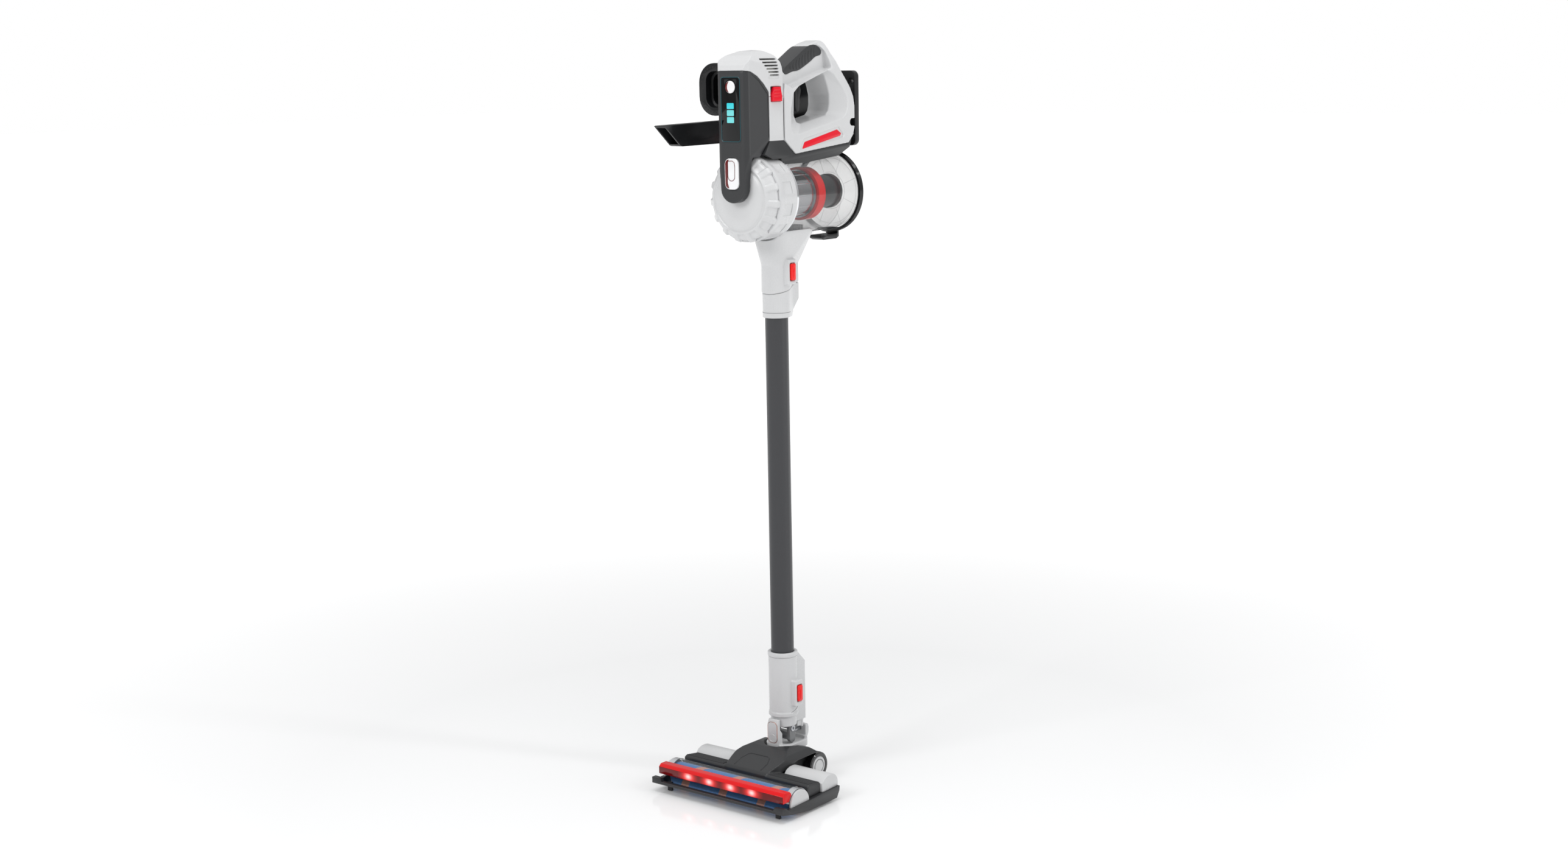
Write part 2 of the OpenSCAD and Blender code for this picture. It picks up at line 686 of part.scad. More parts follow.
module neck_yoke() {
    color([0.9, 0.9, 0.9]) difference() {
        union() {
            rod_x(17, -24, 24, 0, pitch_z);
            rod_x(4, -29.2, 29.2, 0, pitch_z);
            along_z(50, 61, round_rect(-25, -27, 25, 41, 22));
            along_x(-10, 10, [[-28, 58], [-28, 94], [-25, 101], [-21.3, 101], [-21.3, 84], [-16, 78],
                [-16, 50], [-24, 50]]);
            along_x(-12, 12, [[38.5, 50], [38.5, 79], [45, 79], [46.5, 74], [46.5, 66], [42, 56],
                [41, 50]]);
        }
        along_z(55, 62, round_rect(-19, -15.5, 19, 37, 16));
        rod_z(14, 36, 62, 0, 0);
        rod_y(pin_r, -25, 43, 0, lean_z);
    }
}

module lean_pin() {
    color([0.6, 0.6, 0.62]) rod_y(pin_r, -25, 43, 0, lean_z);
}

// ---- Floor head ------------------------------------------------------------
function base_top(y) = 17.2 + (y + 150) / 30;

module head_base() {
    color([0.2, 0.2, 0.21]) difference() {
        union() {
            along_x(-head_hw, head_hw, [[front_y, 13], [front_y, 22.3], [-157, 22.3],
                [-150, base_top(-150)],
                [-27, base_top(-27)], [-28, 14], [-34, 4], [-60, 3.2], [-100, 3.2], [-141, 8]]);
            // Duct block and the two cheeks that carry the yoke and the wheels.
            block(-30, 30, -70, -44, 10, 34);
            both_sides() along_x(27.8, 34, [[-40, 8], [-40, 52], [0, 54], [10, 52], [28, 40], [34, 30],
                [34, 12], [26, 6]]);
            both_sides() rod_x(3, 30, 50, wheel_y, wheel_r);
            both_sides() rod_x(5, 34, 36, wheel_y, wheel_r);
        }
        along_x(-120, 120, [[-158, 30], [-158, 16.5], [-139.5, 9], [-139.5, 0], [-100.5, 0], [-100.5, 30]]);
        along_x(-120, 120, [[-97.5, 6.5], [-97.5, 30], [-70.5, 30], [-70.5, 6.5]]);
        block(-27.8, 27.8, -22, 60, 0, 60);
        rod_x(4 + run_fit, -29.5, 29.5, 0, pitch_z);
        block(-8, 8, -80, -30, 12, 30);
        along_y(-166, -157, [[-114, 30], [-110, 17], [110, 17], [114, 30]]);
        both_sides() block(119.4, 122.1, roller_y - 6.3, roller_y + 6.3, 11.7, 30);
    }
    color([0.1, 0.1, 0.1]) for (x = [-106, 106]) block(x - 4, x + 4, -150, -146, 0, 14);
    color([0.1, 0.1, 0.1]) for (x = [-118, 118]) block(x - 4, x + 4, -76, -70, 0, 3.3);
}

module head_top() {
    wing = [[-96.8, base_top(-96.8)], [-96.8, 37], [-93, 39.5], [-66.5, 35.5], [-66.5, base_top(-66.5)]];
    hump = [[-96.8, base_top(-96.8)], [-96.8, 38], [-93, 41], [-62, 52], [-38, 60.5], [-26, 62.5],
        [-4, 59.5],
            [8, 56], [17, 49.5], [20, 46.2], [-30, 45.5], [-64, 34], [-64, base_top(-64)]];
    color([0.24, 0.24, 0.25]) difference() {
        union() {
            along_x(-121.6, 121.6, wing);
            intersection() {
                along_x(-60, 60, hump);
                along_z(18, 70, [[-40, -97], [40, -97], [46, -70], [50.5, -30], [50.5, 50], [-50.5, 50],
                    [-50.5, -30], [-46, -70]]);
                along_y(-100, 60, [[-51, 18], [-51, 47], [-44, 56], [-30, 63], [30, 63], [44, 56],
                    [51, 47], [51, 18]]);
            }
        }
        along_x(-118, 118, [[-98, 10], [-98, 30], [-92, 36.5], [-69.5, 33], [-69.5, 10]]);
        along_z(18, 70, concat(arc(0, -6, 27.8, 180, 360, 16), [[27.8, 60], [-27.8, 60]]));
        both_sides() along_x(27, 34.3, [[-70, 18], [-40.3, 18], [-40.3, 52.3], [0, 54.3], [10.3, 52.3],
            [34.3, 36], [34.3, 18]]);
        both_sides() rod_x(wheel_r + 1.2, 34, 60, wheel_y, wheel_r);
        block(-30.3, 30.3, -70.3, -43.7, 18, 34.3);
    }
}

module rear_bars() {
    color([0.92, 0.92, 0.92]) both_sides() difference() {
        along_x(51, 125, concat([[-66, base_top(-66)], [-27.5, base_top(-27.5)]],
            [[-26.8, 26]], arc(-44, 26, 17.2, 0, 90, 8), [[-52, 43], [-60, 40], [-66, 34]]));
        along_x(53, 123, concat([[-63.5, 18], [-29.5, 18], [-29.3, 26]], arc(-44, 26, 14.7, 0, 90, 8),
            [[-52, 40.5], [-63.5, 32]]));
    }
}

stub_r = 3;
cover_out = 22.6;
cover_in = 20.4;
module roller_cover() {
    color([0.8, 0.85, 0.88, 0.35]) difference() {
        rod_x(cover_out, -121.9, 121.9, roller_y, roller_z, $fn = 72);
        rod_x(cover_in, -122, 122, roller_y, roller_z, $fn = 72);
        block(-130, 130, roller_y, -90, -10, 22.5);
        block(-130, 130, -160, roller_y, -10, 13);
        both_sides() block(119.7, 130, -160, roller_y, -10, 22.5);
    }
}

module end_caps() {
    color([0.9, 0.9, 0.9]) both_sides() difference() {
        union() {
            rod_x(cover_out - 1, 122, 125, roller_y, roller_z, $fn = 72);
            block(119.5, 122, roller_y - 6, roller_y + 6, 12, 30);
        }
        along_x(121.9, 130, [[-150, -10], [-90, -10], [-90, base_top(-90)], [-150, base_top(-150)]]);
        rod_x(stub_r + run_fit, 119, 122.5, roller_y, roller_z);
    }
}

module light_bar() {
    color([0.75, 0.02, 0.04]) difference() {
        along_x(-122, 122, [[-156, 26.5], [-156, 37.5], [-151.5, 41.5], [-139.5, 41.5], [-136, 38],
            [-136, 26.5]]);
        rod_x(cover_out, -130, 130, roller_y, roller_z, $fn = 72);
    }
}

module roller_core() {
    color([0.7, 0.7, 0.72]) difference() {
        union() {
            ring_x(12, 10, -114, 114, roller_y, roller_z);
            rod_x(11, -114, -112, roller_y, roller_z);
            rod_x(11, -12, -9, roller_y, roller_z);
            rod_x(2, -26, -10, roller_y, roller_z);
            rod_x(11, 112, 114, roller_y, roller_z);
            rod_x(stub_r, 113, 121.8, roller_y, roller_z);
        }
        rod_x(6 + run_fit, -115, -111, roller_y, roller_z);
    }
}

module roller_motor() {
    color([0.3, 0.3, 0.3]) difference() {
        union() {
            rod_x(9.3, -109, -20, roller_y, roller_z);
            rod_x(6, -119.4, -108, roller_y, roller_z);
            rod_x(stub_r, -121.8, -119, roller_y, roller_z);
        }
        rod_x(2 + run_fit, -27, -19, roller_y, roller_z);
    }
}

module roller_sleeve() {
    color([0.1, 0.4, 0.75]) ring_x(roller_r, 12, -116, 116, roller_y, roller_z);
}

module wheel(side) {
    x0 = side > 0 ? 36.2 : -50.4;
    x1 = side > 0 ? 50.4 : -36.2;
    difference() {
        rod_x(wheel_r, x0, x1, wheel_y, wheel_r, $fn = 72);
        rod_x(3 + run_fit, x0 - 1, x1 + 1, wheel_y, wheel_r);
    }
}
module wheel_left() {
    color([0.07, 0.07, 0.07]) wheel(-1);
}
module wheel_right() {
    color([0.07, 0.07, 0.07]) wheel(1);
}

dock_plate();
dock_hook();
dock_contacts();
tool_pegs();
dusting_brush();
crevice_tool();
filter_housing();
pre_filter();
front_cap();
flange_ring();
cup_shell();
cup_neck();
inlet_comb();
mesh_filter();
filter_ring();
cyclone_tube();
rear_lid();
lid_rim();
lid_disc();
lid_latch();
neck_button();
body_column();
pod_shell();
display_glass();
power_button();
release_button();
exhaust_cover();
exhaust_filter();
cover_latch();
motor_housing();
motor_frame();
motor_rotor();
impeller();
circuit_board();
handle_shell();
grip_sleeve();
grip_strip();
trigger();
side_windows();
lower_housing();
battery_cells();
wand_tube();
wand_collar();
connector();
connector_button();
link_block();
link_screw();
neck_yoke();
lean_pin();
head_base();
head_top();
rear_bars();
roller_cover();
end_caps();
light_bar();
roller_core();
roller_sleeve();
roller_motor();
wheel_left();
wheel_right();
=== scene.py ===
# Cordless stick vacuum on its wall dock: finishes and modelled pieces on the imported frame.
import math
import bpy
from mathutils import Matrix, Vector


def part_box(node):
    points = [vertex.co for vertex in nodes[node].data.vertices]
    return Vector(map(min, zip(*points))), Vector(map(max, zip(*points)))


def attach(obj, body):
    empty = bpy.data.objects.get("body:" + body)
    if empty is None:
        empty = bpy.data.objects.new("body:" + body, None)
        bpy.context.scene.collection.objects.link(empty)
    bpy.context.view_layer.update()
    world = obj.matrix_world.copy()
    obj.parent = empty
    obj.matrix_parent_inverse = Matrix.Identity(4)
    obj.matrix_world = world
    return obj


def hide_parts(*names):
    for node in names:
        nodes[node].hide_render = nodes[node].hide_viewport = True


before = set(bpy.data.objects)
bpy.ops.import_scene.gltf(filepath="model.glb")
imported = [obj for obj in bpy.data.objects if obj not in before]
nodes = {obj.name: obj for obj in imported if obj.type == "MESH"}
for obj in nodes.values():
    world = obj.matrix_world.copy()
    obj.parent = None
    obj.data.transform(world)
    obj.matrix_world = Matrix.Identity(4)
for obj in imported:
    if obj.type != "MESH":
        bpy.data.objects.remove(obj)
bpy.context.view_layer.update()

mm = 0.001
print("frame loaded:", len(nodes), "nodes")


def focus(piece):
    bpy.ops.object.select_all(action="DESELECT")
    piece.select_set(True)
    bpy.context.view_layer.objects.active = piece


def inEdit(piece, work):
    focus(piece)
    bpy.ops.object.mode_set(mode="EDIT")
    bpy.ops.mesh.select_all(action="SELECT")
    work()
    bpy.ops.object.mode_set(mode="OBJECT")


def applyModifiers(piece):
    focus(piece)
    for modifier in list(piece.modifiers):
        bpy.ops.object.modifier_apply(modifier=modifier.name)


def settle(piece):
    # place and turn go into the mesh, so the object sits at the origin
    focus(piece)
    bpy.ops.object.transform_apply(location=True, rotation=True, scale=True)


def outward(piece):
    def work():
        bpy.ops.mesh.remove_doubles(threshold=0.00001)
        bpy.ops.mesh.normals_make_consistent(inside=False)
    inEdit(piece, work)


def finish(piece, name, body, material, replaced=(), smooth=35):
    piece.name = name
    piece.data.name = name
    piece.data.materials.clear()
    piece.data.materials.append(material)
    focus(piece)
    bpy.ops.object.shade_smooth_by_angle(angle=math.radians(smooth))
    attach(piece, body)
    if replaced:
        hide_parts(*replaced)


def cadCopy(node):
    piece = bpy.data.objects.new(node + "_shape", nodes[node].data.copy())
    bpy.context.scene.collection.objects.link(piece)

    def work():
        bpy.ops.mesh.remove_doubles(threshold=0.000004)
        bpy.ops.mesh.dissolve_limited(angle_limit=math.radians(1.0))
    inEdit(piece, work)
    return piece


def addModifier(piece, kind, **values):
    modifier = piece.modifiers.new(kind.lower(), kind)
    for key, value in values.items():
        setattr(modifier, key, value)
    return modifier


shell = {"bevelSegments": 2, "bevelAngle": 28, "smoothFactor": 0.5, "softAngle": 40}


def crispShell(node, name, body, material, width):
    # a CAD shape with its edges rounded over
    piece = cadCopy(node)
    addModifier(piece, "BEVEL", width=width * mm, segments=shell["bevelSegments"], limit_method="ANGLE",
                angle_limit=math.radians(shell["bevelAngle"]), use_clamp_overlap=True,
                miter_outer="MITER_ARC")
    applyModifiers(piece)
    finish(piece, name, body, material, (node,))


def softShell(node, name, body, material, voxel, rounds, keep):
    # a CAD shape melted into one moulded skin with generous fillets
    piece = cadCopy(node)
    addModifier(piece, "REMESH", mode="VOXEL", voxel_size=voxel * mm, adaptivity=0.0)
    addModifier(piece, "SMOOTH", factor=shell["smoothFactor"], iterations=rounds)
    addModifier(piece, "DECIMATE", ratio=keep)
    applyModifiers(piece)
    finish(piece, name, body, material, (node,), shell["softAngle"])


def prism(outline, axis, low, high, width=0.0, segments=2):
    # a closed outline in millimetres, pushed along an axis
    bpy.ops.mesh.primitive_circle_add(vertices=len(outline), fill_type="NGON")
    piece = bpy.context.active_object
    for vertex, (a, b) in zip(piece.data.vertices, outline):
        vertex.co = Vector({"x": (low, a, b), "y": (a, low, b)}[axis]) * mm
    step = Vector({"x": (1, 0, 0), "y": (0, 1, 0)}[axis]) * (high - low) * mm
    inEdit(piece, lambda: bpy.ops.mesh.extrude_region_move(TRANSFORM_OT_translate={"value": step}))
    settle(piece)
    outward(piece)
    if width:
        addModifier(piece, "BEVEL", width=width * mm, segments=segments, limit_method="ANGLE",
                    angle_limit=math.radians(30))
        applyModifiers(piece)
    return piece


def lathe(profile, steps, centre, axis, shape=None):
    # a profile of (radius, along) in millimetres, spun once round an axis through centre
    closed = profile[0] == profile[-1]
    points = profile[:-1] if closed else profile
    side, along = {"x": (Vector((0, 1, 0)), Vector((1, 0, 0))),
                   "y": (Vector((0, 0, 1)), Vector((0, 1, 0)))}[axis]
    middle = Vector(centre) * mm
    bpy.ops.object.select_all(action="DESELECT")
    bpy.ops.mesh.primitive_circle_add(vertices=len(points), fill_type="NOTHING")
    piece = bpy.context.active_object
    for vertex, (radius, height) in zip(piece.data.vertices, points):
        vertex.co = middle + (side * radius + along * height) * mm
    if not closed:
        # the loop is opened between its last and first points
        ends = {0, len(points) - 1}
        for edge in piece.data.edges:
            edge.select = set(edge.vertices) == ends
        for vertex in piece.data.vertices:
            vertex.select = False
        focus(piece)
        bpy.ops.object.mode_set(mode="EDIT")
        bpy.ops.mesh.select_mode(type="EDGE")
        bpy.ops.mesh.delete(type="EDGE_FACE")
        bpy.ops.mesh.select_mode(type="VERT")
        bpy.ops.object.mode_set(mode="OBJECT")

    def spinRound():
        bpy.ops.mesh.spin(steps=steps, angle=2 * math.pi, center=middle, axis=along, use_auto_merge=True)
        bpy.ops.mesh.select_all(action="SELECT")
        bpy.ops.mesh.remove_doubles(threshold=0.00001)
        if not closed:
            bpy.ops.mesh.select_all(action="DESELECT")
            bpy.ops.mesh.select_non_manifold()
            bpy.ops.mesh.fill_holes(sides=0)
    inEdit(piece, spinRound)
    if shape:
        across = along.cross(side)
        for vertex in piece.data.vertices:
            offset = (vertex.co - middle) / mm
            height, u, v = offset.dot(along), offset.dot(side), offset.dot(across)
            radius = math.hypot(u, v)
            if radius > 0:
                wanted = shape(radius, height, math.atan2(v, u))
                vertex.co = middle + (along * height + (side * u + across * v) * (wanted / radius)) * mm
    outward(piece)
    return piece


def tube(points, radius, sides=8, closed=False):
    # a round bead along points in millimetres
    curve = bpy.data.curves.new("bead", "CURVE")
    curve.dimensions = "3D"
    curve.bevel_depth = radius * mm
    curve.bevel_resolution = max(1, sides // 4)
    spline = curve.splines.new("POLY")
    spline.points.add(len(points) - 1)
    for spot, point in zip(spline.points, points):
        spot.co = (point[0] * mm, point[1] * mm, point[2] * mm, 1)
    spline.use_cyclic_u = closed
    curve.use_fill_caps = not closed
    piece = bpy.data.objects.new("bead", curve)
    bpy.context.scene.collection.objects.link(piece)
    focus(piece)
    bpy.ops.object.convert(target="MESH")
    return bpy.context.active_object


def join(pieces):
    bpy.ops.object.select_all(action="DESELECT")
    for piece in pieces:
        piece.select_set(True)
    bpy.context.view_layer.objects.active = pieces[0]
    bpy.ops.object.join()
    return bpy.context.active_object


def arcPoints(cx, cy, r, start, end, count=8):
    return [(cx + r * math.cos(math.radians(start + (end - start) * i / count)),
             cy + r * math.sin(math.radians(start + (end - start) * i / count))) for i in range(count + 1)]


def roundRect(x0, y0, x1, y1, r, count=6):
    return (arcPoints(x1 - r, y0 + r, r, -90, 0, count) + arcPoints(x1 - r, y1 - r, r, 0, 90, count)
            + arcPoints(x0 + r, y1 - r, r, 90, 180, count) + arcPoints(x0 + r, y0 + r, r, 180, 270, count))


def newGroup(name, inputs, outputs):
    group = bpy.data.node_groups.new(name, "ShaderNodeTree")
    kinds = {"colour": "NodeSocketColor", "number": "NodeSocketFloat", "vector": "NodeSocketVector"}
    for label, kind, default in inputs:
        socket = group.interface.new_socket(label, in_out="INPUT", socket_type=kinds[kind])
        socket.default_value = default
    for label, kind in outputs:
        group.interface.new_socket(label, in_out="OUTPUT", socket_type=kinds[kind])
    return group, group.nodes.new("NodeGroupInput"), group.nodes.new("NodeGroupOutput")


def mathNode(tree, operation, a, b=None):
    node = tree.nodes.new("ShaderNodeMath")
    node.operation = operation
    for socket, value in zip(node.inputs, (a, b)):
        if value is None:
            continue
        if isinstance(value, (int, float)):
            socket.default_value = value
        else:
            tree.links.new(value, socket)
    return node.outputs[0]


def mixNode(tree, factor, a, b):
    node = tree.nodes.new("ShaderNodeMix")
    node.data_type = "RGBA"
    for socket, value in ((node.inputs[0], factor), (node.inputs[6], a), (node.inputs[7], b)):
        if isinstance(value, tuple):
            socket.default_value = (*value, 1)
        else:
            tree.links.new(value, socket)
    return node.outputs[2]


skinDetail = {"cloudScale": 14, "cloudDetail": 3, "grainDetail": 2, "bumpDistance": 0.0002}


def makeMouldedSkin():
    # moulded plastic: fine grain, slow tone changes and uneven gloss
    group, start, end = newGroup("mouldedSkin", [
        ("Colour", "colour", (0.8, 0.8, 0.8, 1)), ("Tone", "number", 0.04), ("Gloss", "number", 0.35),
        ("GlossSpread", "number", 0.06), ("GrainScale", "number", 1500.0), ("GrainDepth", "number", 0.05)],
        [("Colour", "colour"), ("Roughness", "number"), ("Normal", "vector")])
    links = group.links
    place = group.nodes.new("ShaderNodeTexCoord")
    cloud = group.nodes.new("ShaderNodeTexNoise")
    cloud.inputs["Scale"].default_value = skinDetail["cloudScale"]
    cloud.inputs["Detail"].default_value = skinDetail["cloudDetail"]
    links.new(place.outputs["Object"], cloud.inputs["Vector"])
    grain = group.nodes.new("ShaderNodeTexNoise")
    grain.inputs["Detail"].default_value = skinDetail["grainDetail"]
    links.new(place.outputs["Object"], grain.inputs["Vector"])
    links.new(start.outputs["GrainScale"], grain.inputs["Scale"])
    swing = mathNode(group, "SUBTRACT", cloud.outputs["Fac"], 0.5)
    shade = mathNode(group, "ADD", mathNode(group, "MULTIPLY", swing, start.outputs["Tone"]), 1.0)
    scaled = group.nodes.new("ShaderNodeVectorMath")
    scaled.operation = "SCALE"
    links.new(start.outputs["Colour"], scaled.inputs[0])
    links.new(shade, scaled.inputs["Scale"])
    links.new(scaled.outputs[0], end.inputs["Colour"])
    spread = mathNode(group, "MULTIPLY", mathNode(group, "SUBTRACT", grain.outputs["Fac"], 0.5),
                      start.outputs["GlossSpread"])
    slow = mathNode(group, "MULTIPLY", swing, start.outputs["GlossSpread"])
    links.new(mathNode(group, "ADD", mathNode(group, "ADD", start.outputs["Gloss"], spread), slow),
              end.inputs["Roughness"])
    bump = group.nodes.new("ShaderNodeBump")
    bump.inputs["Distance"].default_value = skinDetail["bumpDistance"]
    links.new(start.outputs["GrainDepth"], bump.inputs["Strength"])
    links.new(grain.outputs["Fac"], bump.inputs["Height"])
    links.new(bump.outputs["Normal"], end.inputs["Normal"])
    return group


mouldedSkin = makeMouldedSkin()


def newMaterial(name):
    material = bpy.data.materials.new(name)
    material.use_nodes = True
    return material, material.node_tree, material.node_tree.nodes["Principled BSDF"]


def skinned(name, colour, gloss, tone=0.05, spread=0.08, grainScale=1500, grainDepth=0.02, **sockets):
    material, tree, shader = newMaterial(name)
    skin = tree.nodes.new("ShaderNodeGroup")
    skin.node_tree = mouldedSkin
    skin.inputs["Colour"].default_value = (*colour, 1)
    skin.inputs["Tone"].default_value = tone
    skin.inputs["Gloss"].default_value = gloss
    skin.inputs["GlossSpread"].default_value = spread
    skin.inputs["GrainScale"].default_value = grainScale
    skin.inputs["GrainDepth"].default_value = grainDepth
    tree.links.new(skin.outputs["Colour"], shader.inputs["Base Color"])
    tree.links.new(skin.outputs["Roughness"], shader.inputs["Roughness"])
    tree.links.new(skin.outputs["Normal"], shader.inputs["Normal"])
    for key, value in sockets.items():
        shader.inputs[key.replace("_", " ")].default_value = value
    return material


clearWall = {"blend": 0.5, "falloff": 3.0, "gloss": 0.03}


def clearMaterial(name, tint, thin, rim):
    # clear moulding: almost nothing square on, firmer where the wall turns away
    material, tree, shader = newMaterial(name)
    facing = tree.nodes.new("ShaderNodeLayerWeight")
    facing.inputs["Blend"].default_value = clearWall["blend"]
    turned = mathNode(tree, "POWER", facing.outputs["Facing"], clearWall["falloff"])
    amount = mathNode(tree, "ADD", mathNode(tree, "MULTIPLY", turned, rim - thin), thin)
    tree.links.new(amount, shader.inputs["Alpha"])
    shader.inputs["Base Color"].default_value = (*tint, 1)
    shader.inputs["Roughness"].default_value = clearWall["gloss"]
    shader.inputs["Specular IOR Level"].default_value = 1.0
    shader.inputs["Coat Weight"].default_value = 1.0
    return material


def glowMaterial(name, colour):
    # an evenly lit bar of the display
    material = skinned(name, (0.02, 0.02, 0.02), 0.2)
    shader = material.node_tree.nodes["Principled BSDF"]
    shader.inputs["Emission Color"].default_value = (*colour, 1)
    shader.inputs["Emission Strength"].default_value = 1.0
    return material


finishes = {
    "white": skinned("whiteSatin", (0.6, 0.605, 0.612), 0.28, Coat_Weight=0.15, Coat_Roughness=0.2),
    "whiteGloss": skinned("whiteGloss", (0.82, 0.82, 0.83), 0.1, grainDepth=0.01, Coat_Weight=0.4),
    "graphite": skinned("graphiteSatin", (0.03, 0.031, 0.033), 0.36, tone=0.12, grainDepth=0.05,
                        Specular_IOR_Level=0.4),
    "black": skinned("blackSatin", (0.009, 0.0095, 0.0105), 0.3, tone=0.12, grainDepth=0.04,
                     Specular_IOR_Level=0.35),
    "blackGloss": skinned("blackGloss", (0.006, 0.006, 0.007), 0.08, grainDepth=0.01, Coat_Weight=0.6),
    "display": skinned("displayBlack", (0.003, 0.0035, 0.004), 0.05, grainDepth=0.0,
                       Specular_IOR_Level=0.3),
    "teal": skinned("tealEdge", (0.01, 0.09, 0.11), 0.2),
    "red": skinned("redGloss", (0.86, 0.004, 0.004), 0.2, grainDepth=0.02,
                   Specular_IOR_Level=0.35, Coat_Weight=0.1),
    "crimson": skinned("crimsonSatin", (0.74, 0.002, 0.018), 0.25, grainDepth=0.03,
                       Specular_IOR_Level=0.3),
    "copper": skinned("copperLine", (0.6, 0.28, 0.2), 0.25, Metallic=1.0),
    "chrome": skinned("chromePlate", (0.75, 0.76, 0.78), 0.08, grainDepth=0.01, Metallic=1.0),
    "steel": skinned("turnedSteel", (0.5, 0.51, 0.53), 0.26, grainScale=900, Metallic=1.0),
    "brass": skinned("contactBrass", (0.75, 0.52, 0.2), 0.25, Metallic=1.0),
    "winding": skinned("copperWinding", (0.55, 0.25, 0.09), 0.4, grainScale=700, grainDepth=0.5,
                       Metallic=0.7),
    "tube": skinned("tubeGrey", (0.045, 0.046, 0.05), 0.34, tone=0.1, grainScale=2400, grainDepth=0.1,
                    Metallic=0.25),
    "kneeGrey": skinned("kneeGrey", (0.2, 0.205, 0.21), 0.25, Metallic=0.3),
    "motorBlack": skinned("motorBlack", (0.03, 0.03, 0.034), 0.35, Metallic=0.4),
    "board": skinned("boardGreen", (0.01, 0.12, 0.05), 0.3, grainScale=500, grainDepth=0.2),
    "cell": skinned("cellWrap", (0.03, 0.26, 0.1), 0.25),
    "felt": skinned("filterFelt", (0.17, 0.17, 0.18), 0.9, grainScale=900, grainDepth=0.9, Sheen_Weight=0.3),
    "paper": skinned("filterPaper", (0.72, 0.72, 0.68), 0.85, grainScale=600, grainDepth=0.7),
    "clear": clearMaterial("clearCup", (0.1, 0.105, 0.11), 0.1, 0.85),
    "clearCover": clearMaterial("clearCover", (0.1, 0.12, 0.13), 0.08, 0.8),
    "cyanBright": glowMaterial("cyanBright", (0.02, 0.66, 0.75)),
    "cyanSoft": glowMaterial("cyanSoft", (0.16, 0.72, 0.74)),
    "darkRed": skinned("darkRedGloss", (0.12, 0.005, 0.005), 0.15, grainDepth=0.01),
    # painted shade: near-black standing for the shade inside small holes and dots
    "pitShade": skinned("paintedPitShade", (0.002, 0.002, 0.002), 0.6),
    "lampTop": skinned("lampTopRed", (0.72, 0.001, 0.004), 0.14, grainDepth=0.0, Specular_IOR_Level=0.35),
}

plush = {
    "stripePitch": 0.0745, "stripeWidth": 0.2, "start": 0.2, "napScale": 1400,
    "blue": ((0.015, 0.15, 0.45), (0.05, 0.3, 0.72)), "salmon": ((0.55, 0.2, 0.13), (0.8, 0.42, 0.32)),
    "bump": 0.7, "bumpDistance": 0.0006, "roughness": 0.75, "sheen": 0.4,
}


def makeRollerPlush():
    # blue nap with a salmon stripe running round it as a helix
    material, tree, shader = newMaterial("rollerPlush")
    low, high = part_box("roller_sleeve")
    centreY, centreZ = (low.y + high.y) / 2, (low.z + high.z) / 2
    place = tree.nodes.new("ShaderNodeTexCoord")
    split = tree.nodes.new("ShaderNodeSeparateXYZ")
    tree.links.new(place.outputs["Object"], split.inputs[0])
    angle = mathNode(tree, "ARCTAN2", mathNode(tree, "SUBTRACT", split.outputs["Z"], centreZ),
                     mathNode(tree, "SUBTRACT", split.outputs["Y"], centreY))
    turns = mathNode(tree, "DIVIDE", angle, 2 * math.pi)
    along = mathNode(tree, "MULTIPLY", mathNode(tree, "ADD", split.outputs["X"], plush["start"]),
                     1 / plush["stripePitch"])
    phase = mathNode(tree, "FRACT", mathNode(tree, "ADD", along, turns))
    stripe = mathNode(tree, "LESS_THAN", phase, plush["stripeWidth"])
    noise = tree.nodes.new("ShaderNodeTexNoise")
    noise.inputs["Scale"].default_value = plush["napScale"]
    tree.links.new(place.outputs["Object"], noise.inputs["Vector"])
    blue = mixNode(tree, noise.outputs["Fac"], *plush["blue"])
    salmon = mixNode(tree, noise.outputs["Fac"], *plush["salmon"])
    tree.links.new(mixNode(tree, stripe, blue, salmon), shader.inputs["Base Color"])
    bump = tree.nodes.new("ShaderNodeBump")
    bump.inputs["Strength"].default_value = plush["bump"]
    bump.inputs["Distance"].default_value = plush["bumpDistance"]
    tree.links.new(noise.outputs["Fac"], bump.inputs["Height"])
    tree.links.new(bump.outputs["Normal"], shader.inputs["Normal"])
    shader.inputs["Roughness"].default_value = plush["roughness"]
    shader.inputs["Sheen Weight"].default_value = plush["sheen"]
    return material


# the hole colour is painted shade: the holes are dark colour on the steel, not cut
perforated = {"radius": 0.0335, "pitch": 0.0021, "holeFrom": 0.45, "steel": (0.62, 0.63, 0.65),
              "holeShade": (0.02, 0.02, 0.02), "bump": 0.5, "bumpDistance": 0.0003, "roughness": 0.2}


